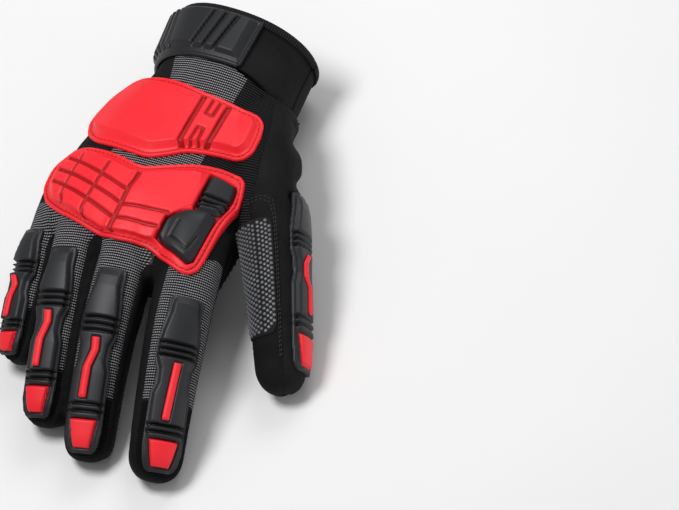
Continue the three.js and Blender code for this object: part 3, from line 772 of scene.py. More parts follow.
# Height map of the body, with places beside it at the height of its nearest side
def ground(tree, points, shape, direction):
    hits = [plumb(tree, x, y, direction)[0] for x, y in points]
    height = np.array([np.nan if hit is None else hit.z for hit in hits])
    beside = np.nanmin(height) if direction < 0 else np.nanmax(height)
    return softened(np.where(np.isnan(height), beside, height).reshape(shape), GROUND_PASSES)


def relief(tree, outline, shape_of, direction=-1, step=PLAN_STEP, plate=None):
    region = outline if plate is None else plate
    low, high = region.min(0) - step, region.max(0) + step
    xs = np.arange(low[0], high[0] + step, step)
    ys = np.arange(low[1], high[1] + step, step)
    y, x, tri = grid(ys, xs)
    points = np.stack([x, y], 1)
    real = ground(tree, points, (len(ys), len(xs)), direction)
    field = real if plate is None else stiffened(real, step)
    slope_y, slope_x = np.gradient(field, step)
    normal = unit(np.stack([-slope_x.ravel(), -slope_y.ravel(), np.ones(len(points))], 1)) * -direction
    normal[:, 2] = np.maximum(np.abs(normal[:, 2]), 0.35) * -direction
    normal = unit(normal)
    base = np.concatenate([points, field.reshape(-1, 1)], 1)
    edge = inside_distance(points, outline)
    height, cut = shape_of(points, edge)
    bottom = base - normal * SINK
    if plate is not None:
        bottom[:, 2] = np.maximum(real.ravel() - SINK, base[:, 2] - WALL_DEPTH)
    top = base + normal * height[:, None]
    # The second value of shape_of goes into the groove attribute as a painted shade mask
    return solid(top, bottom, tri if direction < 0 else tri[:, ::-1], edge, groove=cut)


# Rounded rim, stitched flange and channel that every moulded plate has
FLANGE = 1.7
RIM_ROUND = 0.9
CHANNEL_AT = 1.9


def flange_height(edge, height=FLANGE):
    rim = np.sqrt(np.clip(1 - (1 - np.clip(edge / RIM_ROUND, 0, 1)) ** 2, 0, 1))
    channel = bell(edge, CHANNEL_AT, 0.55)
    return height * (0.35 + 0.65 * rim) - 0.45 * channel


def channel_shade(edge):
    return 0.85 * bell(edge, CHANNEL_AT, 0.5)


HAND_PLATE = [
    (-34, 15), (-12.5, 12.3), (1, 9.8), (13.5, 8.8), (23.5, 7.8), (29, 6.5), (33, 3), (35, -4),
    (35, -12), (31.5, -16.5), (17, -19.8), (7, -22.5), (-1, -27.5), (-9, -31), (-22, -29.3),
    (-38, -26.5), (-46.5, -21), (-51, -12), (-47, 4), (-40.5, 12.5),
]
HAND_PLATE_TOP = [
    (-32, 9.5), (-12, 8.3), (2.5, 6.2), (15, 5), (27, 3.5), (30, 0), (30.5, -9), (28, -12), (15, -14.5),
    (3, -18.5), (-9, -24.5), (-24, -22), (-40, -18.5), (-45, -13), (-41, 1),
]
HAND_GROOVES = [[(3, 6.5), (2.5, -18.5), (5, -22)], [(15, 5), (14.5, -17.5)]]
HAND_MARKS = [[(7.6, 5.2), (7.2, -2.2), (10.6, -2.6), (11, 5)],
              [(8, -20.5), (6.8, -17), (7.2, -10), (9.8, -10), (10.2, -16.5), (11.5, -19.3)]]
PLATE_HEIGHT = 4.4
FOOT_INSET = 3.1
GROOVE_DEPTH = 1.2
POCKET_FLOOR = 0.5


# A plate's flange and the raised field on it
def plate_height(points, edge, outline, corner):
    field = facet(edge - FOOT_INSET, inside_distance(points, chaikin(outline, 1, corner)))
    return flange_height(edge) + (PLATE_HEIGHT - FLANGE) * np.where(edge > FOOT_INSET, field, 0)


def hand_plate_shape(points, edge):
    cut = np.maximum(grooves(points, HAND_GROOVES, 2.5) * 1.5, grooves(points, HAND_MARKS, 1.5))
    cut = cut * (edge > FOOT_INSET - 0.8)
    height = plate_height(points, edge, HAND_PLATE_TOP, 0.12) - GROOVE_DEPTH * cut
    # The second value is a painted shade mask over the grooves, the marks and the stitch channel
    return height, np.clip(np.maximum(cut, channel_shade(edge)), 0, 1)


KNUCKLE_PLATE = [
    (-45.5, -28.5), (-24, -32), (-8, -36.3), (5, -30.8), (15, -26.4), (25.5, -23.8), (33, -23.2),
    (37, -26), (38.3, -34), (38.6, -68), (38, -76), (35, -80.5), (29.5, -80.5), (16, -74.3), (10, -72.5),
    (-5.5, -74.5), (-34, -67), (-48, -60.5), (-54, -52), (-54.5, -40),
]
KNUCKLE_TOP = [
    (-42, -33.5), (-7, -42), (18.5, -31), (20.5, -40), (21.5, -49), (14.5, -57), (12.5, -65),
    (12.5, -68.5), (-7, -70.8), (-41, -59.5), (-46.5, -50), (-47, -40),
]
KNUCKLE_GROOVES = [[(-44, -38.5), (-7, -51)], [(-46, -44.5), (-6.5, -58)], [(-46, -50.6), (-7, -65)],
                   [(-37, -37), (-38, -57.5), (-36, -61)], [(-22, -39.5), (-24.5, -63.5), (-22.5, -67)]]
KNUCKLE_FIELD_LINES = [[(-5, -58.5), (3, -57.2), (14.5, -56)], [(-6, -65), (12.3, -63.5)]]
KNUCKLE_DIVIDER = [(-6, -41.5), (-6.5, -72)]
UPPER_WINDOW = [(22, -29), (34, -29.2), (35.3, -46.8), (33, -48.8), (25, -50.6), (22.5, -46)]
POCKET_LINK = 2.0
LOWER_WINDOW = [(14.3, -57.5), (25.2, -51), (35, -49.3), (34.6, -74), (32.5, -76.3), (13.8, -68)]
INSERT_GAP = 0.25


def knuckle_plate_shape(points, edge):
    cut = grooves(points, KNUCKLE_GROOVES + KNUCKLE_FIELD_LINES, 1.7)
    cut = np.maximum(cut, 1.3 * groove(points, KNUCKLE_DIVIDER, 2.2)) * (edge > FOOT_INSET - 0.6)
    windows = (UPPER_WINDOW, np.array(UPPER_WINDOW) - (0, POCKET_LINK), LOWER_WINDOW)
    pocket = np.max([inside_distance(points, np.array(window, float)) for window in windows], axis=0)
    sunk = smooth(pocket, -0.5, 0.15)
    height = plate_height(points, edge, KNUCKLE_TOP, 0.1) - GROOVE_DEPTH * cut
    height = height * (1 - sunk) + POCKET_FLOOR * sunk
    # The second value is a painted shade mask over the grooves, the pockets under the inserts and the
    # stitch channel
    return height, np.clip(np.max([cut, sunk, channel_shade(edge)], axis=0), 0, 1)


INSERT_HEIGHT = 4.1
INSERT_EDGE = 1.2
INSERT_RIBS = [[(20, y - 0.8), (37, y + 1.6)] for y in (-40.6, -43.8, -47.0)]
INSERT_MARK = [(22.5, -58.5), (22, -66), (30.3, -70.8), (31.3, -63)]
INSERT_RIGHT = 34.6


def upper_insert_shape(points, edge):
    ribs = grooves(points, INSERT_RIBS, 1.7)
    # The rib grooves are also returned as a painted shade mask
    return INSERT_EDGE + (INSERT_HEIGHT - INSERT_EDGE) * np.clip(edge / 1.3, 0, 1) - 1.9 * ribs, ribs


def lower_insert_shape(points, edge):
    right_facet = np.clip((INSERT_RIGHT - points[:, 0]) / 4.2, 0, 1)
    rise = np.minimum(np.clip(edge / 1.5, 0, 1), 0.35 + 0.65 * right_facet)
    mark = groove(points, INSERT_MARK, 1.1)
    # The mark groove is also returned as a painted shade mask
    return INSERT_EDGE + (INSERT_HEIGHT - INSERT_EDGE) * rise - 0.7 * mark, mark


# Finger guards: share of the guard's length with half width of the base and of the block, and block height
GUARD_STEP = 0.42
GUARD_BASE = 1.25
GUARD_LIP = 0.5
GUARD_PROFILE = np.array([
    (0.00, 5.6, 4.2, 0.5), (0.015, 6.8, 5.3, 1.5), (0.05, 7.0, 5.6, 3.0), (0.11, 7.0, 5.7, 3.6),
    (0.21, 8.2, 7.0, 3.8), (0.27, 8.6, 7.5, 3.8), (0.38, 8.6, 7.5, 3.6), (0.43, 7.3, 6.1, 3.4),
    (0.51, 7.1, 5.9, 3.3), (0.57, 8.3, 7.1, 3.5), (0.80, 8.3, 7.0, 3.4), (0.83, 8.3, 6.9, 2.6),
    (0.95, 7.6, 5.8, 2.3), (0.98, 7.0, 5.2, 1.8), (1.00, 5.2, 4.0, 1.0),
])
RIB_CUTS = (0.285, 0.32, 0.355, 0.738, 0.775)
RIB_CUT_LENGTH = 1.5
RIB_FLOOR = 1.1
GUARD_LEAST = 0.25
GUARD_REACH = 9.2
TIP_FROM = 0.812
TIP_TO = 0.965
STRIPE_FROM = 0.393
STRIPE_TO = 0.71
STRIPES = {
    "index": [(0.39, 0.4), (0.46, 0.2), (0.58, -0.3), (0.71, -0.8)],
    "middle": [(0.39, 0.5), (0.46, 0.9), (0.55, -0.9), (0.71, -1.1)],
    "ring": [(0.39, 0.4), (0.46, 0.9), (0.56, -1.0), (0.71, -1.2)],
    "pinky": [(0.39, -1.6), (0.47, 0.4), (0.56, -0.9), (0.71, -1.2)],
    "thumb": [(0.39, 0.2), (0.45, -2.2), (0.53, -2.2), (0.58, 0.2), (0.71, 0.2)],
}
STRIPE_HALF = 1.35
GUARD_SPAN = {"index": (0.355, 1.5), "middle": (0.345, 1.52), "ring": (0.335, 1.5), "pinky": (0.355, 1.5),
              "thumb": (0.455, 1.2)}
GUARD_SHIFT = {"index": 1.0, "middle": -0.6, "ring": -0.4, "pinky": 0.0, "thumb": 2.6}


# A strip along a finger between two reaches: its length, and the reach at a length along it
def strip_parts(finger, start, stop):
    return (min(stop, 1) - start) * finger_length(finger), math.radians(90) * finger["width"][2] / 2


def strip_length(finger, start, stop):
    straight, arc = strip_parts(finger, start, stop)
    return straight + max(stop - 1, 0) * arc


def strip_reach(finger, start, stop, run):
    straight, arc = strip_parts(finger, start, stop)
    return np.where(run <= straight, start + run / finger_length(finger), 1 + (run - straight) / arc)


# Place on a finger's form, and the way out of it over a millimetre
def finger_out(finger, reach, angle):
    place = finger_point(finger, reach, angle, 0.0)
    return place, finger_point(finger, reach, angle, 1.0) - place


def nearest(tree, places):
    return np.array([tree.find_nearest(Vector(place))[0] for place in places])


# Top and bottom on the back of a finger, at a share of the guard's length and a distance to its side
def guard_place(name, along, across, height, tree):
    finger = FINGERS[name]
    run = along * strip_length(finger, *GUARD_SPAN[name])
    reach = strip_reach(finger, *GUARD_SPAN[name], run)
    half = np.interp(reach, (0, 0.5, 1), finger["width"]) / 2
    share = np.clip((across + GUARD_SHIFT[name]) / half, -0.98, 0.98)
    place, out = finger_out(finger, reach, np.arccos(rounded(share, 1 / FINGER_POWER)))
    base, normal = nearest(tree, place), unit(out)
    return base + normal * height[:, None], base - normal * SINK


def guard_grid(name, half_width, start=0.0, stop=1.0):
    total = strip_length(FINGERS[name], *GUARD_SPAN[name])
    rows = max(int((stop - start) * total / GUARD_STEP), 2)
    columns = max(int(2 * half_width / GUARD_STEP), 2)
    along = np.linspace(start, stop, rows)
    return *grid(along, np.linspace(-half_width, half_width, columns)), total


def guard_scale(name):
    return FINGERS[name]["width"][1] / 26.5


def stripe_offset(name, along):
    return np.interp(along, *np.array(STRIPES[name]).T)


def rib_cuts(along, total, reach):
    return [np.exp(-((((along - cut) * total) / reach) ** 4)) for cut in RIB_CUTS]


def guard_height(name, along, across, total):
    base, block, top = (np.interp(along, GUARD_PROFILE[:, 0], GUARD_PROFILE[:, k]) for k in (1, 2, 3))
    edge = np.minimum(base * guard_scale(name) - np.abs(across), np.minimum(along, 1 - along) * total)
    inner = block * guard_scale(name) - np.abs(across)
    lip = bell(edge, 0.7, 0.35)
    height = GUARD_BASE * np.sqrt(np.clip(edge / 0.6, 0, 1)) + GUARD_LIP * lip
    height = height + (top - GUARD_BASE) * np.clip(inner / 1.7, 0, 1) * smooth(inner, -0.2, 0.3)
    for cut in rib_cuts(along, total, RIB_CUT_LENGTH / 2):
        height = height - (top - RIB_FLOOR) * cut * (inner > -0.4)
    return np.maximum(height, GUARD_LEAST), edge


def finger_guard(name, tree):
    along, across, tri, total = guard_grid(name, GUARD_REACH * guard_scale(name))
    height, edge = guard_height(name, along, across, total)
    slot = np.abs(across - stripe_offset(name, along)) - STRIPE_HALF - 0.35
    in_stripe = (along > STRIPE_FROM - 0.01) & (along < STRIPE_TO + 0.01)
    height = np.where(in_stripe, height - 0.8 * (1 - smooth(slot, -0.2, 0.3)), height)
    height = height - (height - 0.9) * smooth(tip_edge(name, along, across, total), -0.5, 0.1)
    shade = np.max(rib_cuts(along, total, 0.7), axis=0) * (height < 2.6)
    return solid(*guard_place(name, along, across, height, tree), tri, edge, groove=shade)


TIP_TOP_HALF = 5.8
TIP_END_HALF = 4.0


def tip_share(along):
    return np.clip((along - TIP_FROM) / (TIP_TO - TIP_FROM), 0, 1)


def tip_edge(name, along, across, total):
    half = (TIP_TOP_HALF + (TIP_END_HALF - TIP_TOP_HALF) * tip_share(along)) * guard_scale(name)
    return np.min([half - np.abs(across), (along - TIP_FROM) * total, (TIP_TO - along) * total], axis=0)


def guard_tip(name, tree):
    along, across, tri, total = guard_grid(name, 6.6 * guard_scale(name), TIP_FROM - 0.01, TIP_TO + 0.01)
    edge = tip_edge(name, along, across, total) - 0.15
    height = 1.2 + (3.3 - 0.7 * tip_share(along) - 1.2) * smooth(edge, 0, 1.1)
    return solid(*guard_place(name, along, across, height, tree), tri, edge)


def guard_stripe(name, tree):
    along, lean, tri, total = guard_grid(name, STRIPE_HALF + 0.1, STRIPE_FROM - 0.005, STRIPE_TO + 0.005)
    across = lean + stripe_offset(name, along)
    ends = np.minimum(along - STRIPE_FROM, STRIPE_TO - along) * total
    edge = np.minimum(STRIPE_HALF - np.abs(lean), ends)
    block = np.interp(along, GUARD_PROFILE[:, 0], GUARD_PROFILE[:, 3])
    top, _ = guard_place(name, along, across, block + 0.1 + 0.8 * smooth(edge, -0.2, 0.9), tree)
    bottom, _ = guard_place(name, along, across, block - 0.7, tree)
    return solid(top, bottom, tri, edge)


# Cuff: neoprene sleeve, ribbed binding, moulded closure and webbing tab
CUFF_TURNS = 260
CUFF_PROFILE = [
    (22.3, -0.7), (22.9, 0), (26, 0), (30, 0), (34, 0), (38, 0), (42, 0), (46, 0), (50, 0), (53, -0.2),
    (53.5, -0.9), (53.5, -1.9), (53, -2.6), (48, -2.6), (42, -2.6), (34, -2.6), (27, -2.6), (22.3, -2.6),
]
BINDING_PROFILE = [
    (50.2, 0.15), (50.4, 0.9), (51.2, 1.15), (53, 1.1), (54.2, 0.7), (54.9, -0.6), (54.9, -2.0),
    (54.2, -3.2), (53, -3.5), (50.6, -3.5), (50.4, -2.75), (53.2, -2.75), (53.7, -1.9), (53.7, -0.8),
    (53.2, 0.15),
]


def ring_tube(profile, dent=None):
    angle = turns(CUFF_TURNS) - math.pi / 2
    rings = []
    for y, offset in profile:
        extra = dent(angle, y) if dent else 0.0
        lift = cuff_arch(angle) * max(0.0, (CUFF_ARCH_TOP_Y - y) / (CUFF_ARCH_TOP_Y - WRIST_Y))
        rings.append(cuff_point(angle, y + lift, offset + extra))
    rings = np.array(rings)
    ids = np.arange(rings[..., 0].size).reshape(len(profile), CUFF_TURNS)
    around = np.broadcast_to(run_along(rings[0]), ids.shape)
    along = np.broadcast_to(np.array(profile)[:, :1], ids.shape)
    weave = np.stack([around, along, ids * 0], -1).reshape(-1, 3)
    return skin_of(rings.reshape(-1, 3), tube_triangles(np.concatenate([ids, ids[:1]])), weave=weave)


def cuff_wave(angle, y):
    fold = math.sin((y - WRIST_Y) / (RIM_Y - WRIST_Y) * math.pi)
    return -0.5 * fold * (0.5 + 0.5 * np.sin(3 * angle + 0.6)) - 0.25 * fold * np.sin(7 * angle)


CLOSURE_FROM = 68.0
CLOSURE_TO = 232.0
CLOSURE_LOW_Y = 25.8
CLOSURE_HIGH_Y = 52.0
CLOSURE_SLANT = 2.2
CLOSURE_MIDDLE_Y = 38.0
CLOSURE_BASE = 1.85
CLOSURE_FIELD = 2.4
CLOSURE_STEP = 0.42
CLOSURE_INSET = 1.9
CLOSURE_CORNER = 2.5
CLOSURE_GROOVES = [[(11.4, 51.5), (15.2, 30.5)], [(16.8, 51.5), (20.6, 30.5)], [(22.3, 51.5), (26.4, 30.5)]]
CLOSURE_RIDGES = [[(44.5, 51.5), (41.0, 30.5)], [(48.5, 51.5), (45.5, 30.5)], [(52.5, 51.5), (50, 30.5)],
                  [(56.5, 51.5), (54.5, 30.5)], [(60.5, 51.5), (59.0, 30.5)]]
PALM_RIDGES = (84.0, 86.6, 89.2, 91.8, 94.4)
PALM_BLOCK = (74.0, 104.0)
CLOSURE_BLOCK_END = 68.0
CLOSURE_FOLD = 6.6


def closure_map():
    angle = np.radians(np.linspace(CLOSURE_FROM, CLOSURE_TO, 400))
    return angle, run_along(cuff_point(angle, np.full_like(angle, CLOSURE_MIDDLE_Y), 1.5))


def closure_place(around, y, height):
    angles, arcs = closure_map()
    slant = CLOSURE_SLANT * (CLOSURE_HIGH_Y - y) / (CLOSURE_HIGH_Y - CLOSURE_LOW_Y)
    around = around + slant * (1 - around / arcs[-1])
    angle = np.interp(around, arcs, angles)
    low = cuff_point(angle, y, 0.0)
    normal = unit(cuff_point(angle, y, 1.0) - low)
    return low + normal * height[:, None]


def closure_height(around, y, total):
    edge = np.min([around, total - around, y - CLOSURE_LOW_Y, CLOSURE_HIGH_Y - y], axis=0)
    rim = 0.45 + 0.55 * np.sqrt(np.clip(edge / 0.7, 0, 1))
    height = CLOSURE_BASE * rim - 0.4 * bell(edge, 2.0, 0.45)
    height = height + 1.1 * bell(around, 0.9, 0.6) * smooth(edge, 0, 0.5)
    foot = np.min([(around - 3.0) / (CLOSURE_FOLD - 3.0), (CLOSURE_BLOCK_END - around) / 3.0,
                   (y - CLOSURE_LOW_Y - 3.6) / 1.8, (CLOSURE_HIGH_Y - 1.2 - y) / 0.9], axis=0)
    field = np.clip(foot, 0, 1)
    height = height + CLOSURE_FIELD * field
    points = np.stack([around, y], 1)
    cuts = np.max([groove(points, line, 2.0) for line in CLOSURE_GROOVES + CLOSURE_RIDGES], axis=0) * field
    height = height - 1.9 * cuts
    block = np.min([(around - PALM_BLOCK[0]) / 1.6, (PALM_BLOCK[1] - around) / 1.6, (y - 28.5) / 1.6,
                    (47.5 - y) / 1.6], axis=0)
    block = smooth(block, 0, 1)
    teeth = np.max([groove(points, [(at, 33.0), (at, 43.0)], 1.1) for at in PALM_RIDGES], axis=0)
    frame = bell(block, 0.5, 0.28) * (block > 0.02)
    return np.maximum(height + 1.0 * block - 0.8 * teeth * block + 0.2 * frame, 0.4), cuts


def closure():
    total = closure_map()[1][-1]
    rows = int((CLOSURE_HIGH_Y - CLOSURE_LOW_Y) / CLOSURE_STEP)
    y, around, tri = grid(np.linspace(CLOSURE_LOW_Y, CLOSURE_HIGH_Y, rows),
                          np.linspace(0, total, int(total / CLOSURE_STEP)))
    height, cuts = closure_height(around, y, total)
    to_side = np.minimum(y - CLOSURE_LOW_Y, CLOSURE_HIGH_Y - y)
    corner = round_box(np.minimum(around, total - around), to_side, CLOSURE_CORNER)
    top, bottom = (closure_place(around, y, level) for level in (height, np.full_like(y, 0.05)))
    # The groove and ridge cuts, made stronger, go into the groove attribute as painted shade
    return solid(top, bottom, tri, corner + 0.02, groove=np.clip(cuts * 1.7, 0, 1))


TAB_HALF = 8.0
TAB_X = 2.0
TAB_THICK = 1.5
TAB_START_Y = 24.0
TAB_END_Y = 71.5
TAB_DROP = np.array([(TAB_START_Y, 1.5), (44.5, 1.5), (48.5, 0.25), (56, 0.05), (TAB_END_Y, 0)])
TAB_ROWS = 90
TAB_COLUMNS = 24


def pull_tab():
    y, x, tri = grid(np.linspace(TAB_START_Y, TAB_END_Y, TAB_ROWS),
                     np.linspace(-TAB_HALF, TAB_HALF, TAB_COLUMNS))
    lift = 0.35 * np.sin((y - 50) / 6.0) ** 2 * smooth(y, 54, 60) * smooth(-y, -TAB_END_Y, -66)
    low = np.interp(y, *TAB_DROP.T) + lift
    edge = np.min([TAB_HALF - np.abs(x), y - TAB_START_Y, TAB_END_Y - y], axis=0)
    top = np.stack([TAB_X + x, y, low + TAB_THICK - 0.25 * (1 - smooth(edge, 0, 0.8))], 1)
    bottom = np.stack([TAB_X + x, y, low + 0.02], 1)
    return closed(skin_of(top, tri, weave=np.stack([x, y, x * 0], 1)), bottom)


# Silicone dots laid out in a staggered pattern over a base film
DOT_PITCH = 1.9
DOT_RADIUS = 0.84
DOT_HEIGHT = 0.5
DOT_SIDES = 6
# Share of the radius and of the height
DOT_LEVELS = ((1.0, -0.2), (0.98, 0.45), (0.8, 0.85), (0.45, 1.0))


def dot_places(low, high):
    rows = np.arange(low[1], high[1], DOT_PITCH * math.sqrt(3) / 2)
    places = []
    for row, y in enumerate(rows):
        start = low[0] + (row % 2) * DOT_PITCH / 2
        places += [(x, y) for x in np.arange(start, high[0], DOT_PITCH)]
    return np.array(places)


def dots(centres, normals):
    angle = turns(DOT_SIDES)[:, None]
    ids = np.arange(len(DOT_LEVELS) * DOT_SIDES).reshape(-1, DOT_SIDES)
    top = ids[-1]
    cap = np.stack([np.full(DOT_SIDES - 2, top[0]), top[1:-1], top[2:]], -1)
    tri = np.concatenate([tube_triangles(ids), cap])
    parts = []
    for centre, normal in zip(centres, normals):
        side = unit(np.cross(normal, (0.0, 1.0, 0.13)))
        up = np.cross(normal, side)
        rings = [centre + DOT_RADIUS * radius * (np.cos(angle) * side + np.sin(angle) * up)
                 + normal * DOT_HEIGHT * level for radius, level in DOT_LEVELS]
        parts.append(skin_of(np.concatenate(rings), tri, weave=np.tile((0.0, 0.0, 1.0), (ids.size, 1))))
    return joined(parts)


FILM = 0.35
PALM_GRIP = [
    (-52, -60), (-47, -69), (-42, -72), (-37, -71), (-31, -63), (-28, -72), (-23, -78), (-13, -80),
    (-6, -76), (-2, -71), (3, -79), (8, -81), (16, -80), (22, -72), (25, -71), (29, -78), (35, -80.5),
    (40, -78), (39, -60), (38, -46), (33, -42), (27, -42.5), (20, -46), (14, -47), (8, -46), (2, -42.5),
    (-5, -42.5), (-13, -44), (-22, -44), (-27, -40.5), (-40, -40), (-50, -43),
]


def film_shape(points, edge):
    return FILM * smooth(edge, -0.2, 0.5), edge * 0


def palm_grip(tree):
    outline = chaikin(PALM_GRIP, 2)
    film = flat_weave(relief(tree, outline, film_shape, direction=1, step=0.8))
    return joined([film, dots(*dots_under(tree, outline, FILM))])


# Grip on a finger: reach and angle limits, its corners rounded off
FINGER_GRIPS = {
    "middle": (0.78, 1.55, 214, 326),
    "ring": (0.77, 1.55, 214, 326),
    "pinky": (0.68, 1.5, 214, 326),
    "thumb": (0.56, 0.93, 151, 240),
}
GRIP_CORNER = 5.0
GRIP_STEP = 0.9


def finger_grip(name, tree):
    finger = FINGERS[name]
    start, stop, first, last = FINGER_GRIPS[name]
    total = strip_length(finger, start, stop)
    turn = math.radians(last - first) / 2
    half = turn * (finger["width"][1] + finger["depth"][1]) / 4

    def place(along, across):
        angle = np.radians((first + last) / 2) + across / half * turn
        skin_place, out = finger_out(finger, strip_reach(finger, start, stop, along), angle)
        normal = unit(out)
        normal[np.linalg.norm(out, axis=1) < 0.5] = (0, 0, -1)
        return nearest(tree, skin_place) + normal * FILM, normal

    def inside(along, across):
        return round_box(np.minimum(along, total - along), half - np.abs(across), GRIP_CORNER)

    along, across, tri = grid(np.linspace(0, total, int(total / GRIP_STEP)),
                              np.linspace(-half, half, int(2 * half / GRIP_STEP)))
    top, normal = place(along, across)
    film = flat_weave(solid(top, top - normal * (FILM + SINK), tri, inside(along, across) + 0.01))
    along, across = dot_places((0, -half), (total, half)).T
    kept = inside(along, across) > DOT_RADIUS + 0.3
    return joined([film, dots(*place(along[kept], across[kept]))])


# Heel pads: domed under the palm, with a sewn edge
PAD_OUTLINES = {
    "pad_pinky_heel": ("heel_pad_pinky", [
        (-45, -33), (-37, -35.5), (-30, -36), (-26, -32), (-17, -31.5), (-9, -31), (-7.5, -12), (-5.5, 8),
        (-18, 9.5), (-30, 9), (-37, -2), (-42, -18)]),
    "pad_thumb_heel": ("heel_pad_thumb", [
        (0, -32), (10, -32.8), (20, -33), (26, -37), (34, -37), (38, -28), (38, -16), (36, -6), (33, 1),
        (28, 7), (17, 8), (6, 8), (3, 5), (1.5, -12)]),
}
PAD_HEIGHT = 2.5
PAD_BORDER = 0.6


def pad_shape(points, edge):
    height = PAD_BORDER + (PAD_HEIGHT - PAD_BORDER) * smooth(edge, 3.2, 7.5)
    return height - 0.3 * bell(edge, 1.0, 0.5), edge * 0


def flat_weave(skin):
    return skin_of(skin["co"], skin["tri"], weave=np.zeros_like(skin["co"]))


# Places and normals where plumb rays meet a mesh, lifted off it
def on_surface(tree, places, lift, direction):
    hits = [plumb(tree, x, y, direction) for x, y in places]
    hits = [hit for hit in hits if hit[0] is not None]
    normals = np.array([normal for _, normal in hits])
    return np.array([place for place, _ in hits]) + normals * lift, normals


# Dots on the underside of a mesh inside a plan outline
def dots_under(tree, outline, lift):
    places = dot_places(outline.min(0), outline.max(0))
    places = places[inside_distance(places, outline) > DOT_RADIUS + 0.4]
    centres, normals = on_surface(tree, places, lift, 1)
    faces_down = normals[:, 2] < -0.4
    return centres[faces_down], normals[faces_down]


# Stitches: short rounded threads laid along lines on a surface; their length, gap and radius
STITCH = (1.7, 0.9, 0.27)
SMALL_STITCH = (1.3, 0.6, 0.2)
SEAM_STITCH = (1.4, 0.7, 0.2)
STITCH_SIDES = 6
# Share of the length, share of the radius, and height in radii
STITCH_ROWS = np.array([
    (0.0, 0.35, -0.6), (0.2, 0.9, 0.3), (0.5, 1.0, 0.7), (0.8, 0.9, 0.3), (1.0, 0.35, -0.6),
])


def at_run(at, run, rows):
    return np.stack([np.interp(at, run, column) for column in rows.T], 1)


def stitches(line, normals, size=STITCH):
    length, gap, radius = size
    run = run_along(line)
    shares, swell, lift = STITCH_ROWS.T
    angle = turns(STITCH_SIDES)[None, :, None]
    parts = []
    for start in np.arange(gap / 2, run[-1] - length, length + gap):
        middle = at_run(start + shares * length, run, line)
        normal = unit(at_run(start + shares * length, run, normals))
        side = unit(np.cross(unit(np.gradient(middle, axis=0)), normal))
        middle = middle + normal * (lift * radius)[:, None]
        around = np.cos(angle) * side[:, None] + np.sin(angle) * normal[:, None]
        parts.append(loft(middle[:, None] + radius * swell[:, None, None] * around))
    return joined(parts)


def resample(line, step):
    line = np.array(line, float)
    run = run_along(line)
    return at_run(np.linspace(0, run[-1], max(int(run[-1] / step), 2)), run, line)


def drawn_in(outline, distance):
    after, before = np.roll(outline, -1, axis=0), np.roll(outline, 1, axis=0)
    run = unit(after - before)
    inward = np.stack([-run[:, 1], run[:, 0]], 1)
    centre = outline.mean(0)
    if np.mean(dot(inward, centre - outline)) < 0:
        inward = -inward
    return outline + inward * distance


def line_on_body(tree, line, lift, direction=-1):
    return on_surface(tree, resample(line, STITCH_LINE_STEP), lift, direction)


# Line on a finger through places given as reach and angle in degrees
def line_on_finger(name, tree, places, lift):
    steps = np.linspace(0, len(places) - 1, 40 * (len(places) - 1))
    reach, angle = at_run(steps, np.arange(len(places)), np.array(places, float)).T
    found = [tree.find_nearest(Vector(place))[:2]
             for place in finger_point(FINGERS[name], reach, np.radians(angle), 0.0)]
    normals = np.array([normal for _, normal in found])
    return np.array([place for place, _ in found]) + normals * lift, normals


FINGER_SEAMS = {
    "thumb_seam": ("thumb", [[(0.478, 225), (0.478, 165), (0.5, 148), (0.56, 143.5), (1.0, 143.5)],
                             [(0.49, 225), (0.49, 168), (0.51, 153), (0.57, 147.5), (1.0, 147.5)]]),
    "thumb_line": ("thumb", [[(0.94, 241), (0.94, 345)], [(0.955, 241), (0.955, 345)]]),
    "index_line": ("index", [[(0.85, 200), (0.86, 340)], [(0.868, 200), (0.878, 340)]]),
}
TAB_BOX = ((-5.7, 25.6), (5.7, 25.6), (5.7, 45.0), (-5.7, 45.0))
STITCH_LINE_STEP = 0.7


def closure_stitches():
    total = closure_map()[1][-1]
    left, right = CLOSURE_INSET, total - CLOSURE_INSET
    low, high = CLOSURE_LOW_Y + CLOSURE_INSET, CLOSURE_HIGH_Y - 2
    around, y = resample([(left, high), (left, low), (right, low), (right, high)], STITCH_LINE_STEP).T
    height, _ = closure_height(around, y, total)
    line = closure_place(around, y, height + 0.1)
    return stitches(line, unit(closure_place(around, y, height + 1.1) - line))


def tab_stitches(tab):
    tree = tree_of(tab)
    a, b, c, d = (np.array(corner) + (TAB_X, 0) for corner in TAB_BOX)
    return joined([stitches(*line_on_body(tree, line, 0.08, direction=1), SMALL_STITCH)
                   for line in ([a, b, c, d, a], [a, c], [b, d])])


def edge_stitches(skin, outline, inset, lift, direction=-1):
    outline = drawn_in(outline, inset)
    return stitches(*line_on_body(tree_of(skin), np.concatenate([outline, outline[:1]]), lift, direction))


# Shader graphs
def colour(code):
    values = [int(code[k:k + 2], 16) / 255 for k in (1, 3, 5)]
    return tuple(v / 12.92 if v <= 0.04045 else ((v + 0.055) / 1.055) ** 2.4 for v in values) + (1.0,)


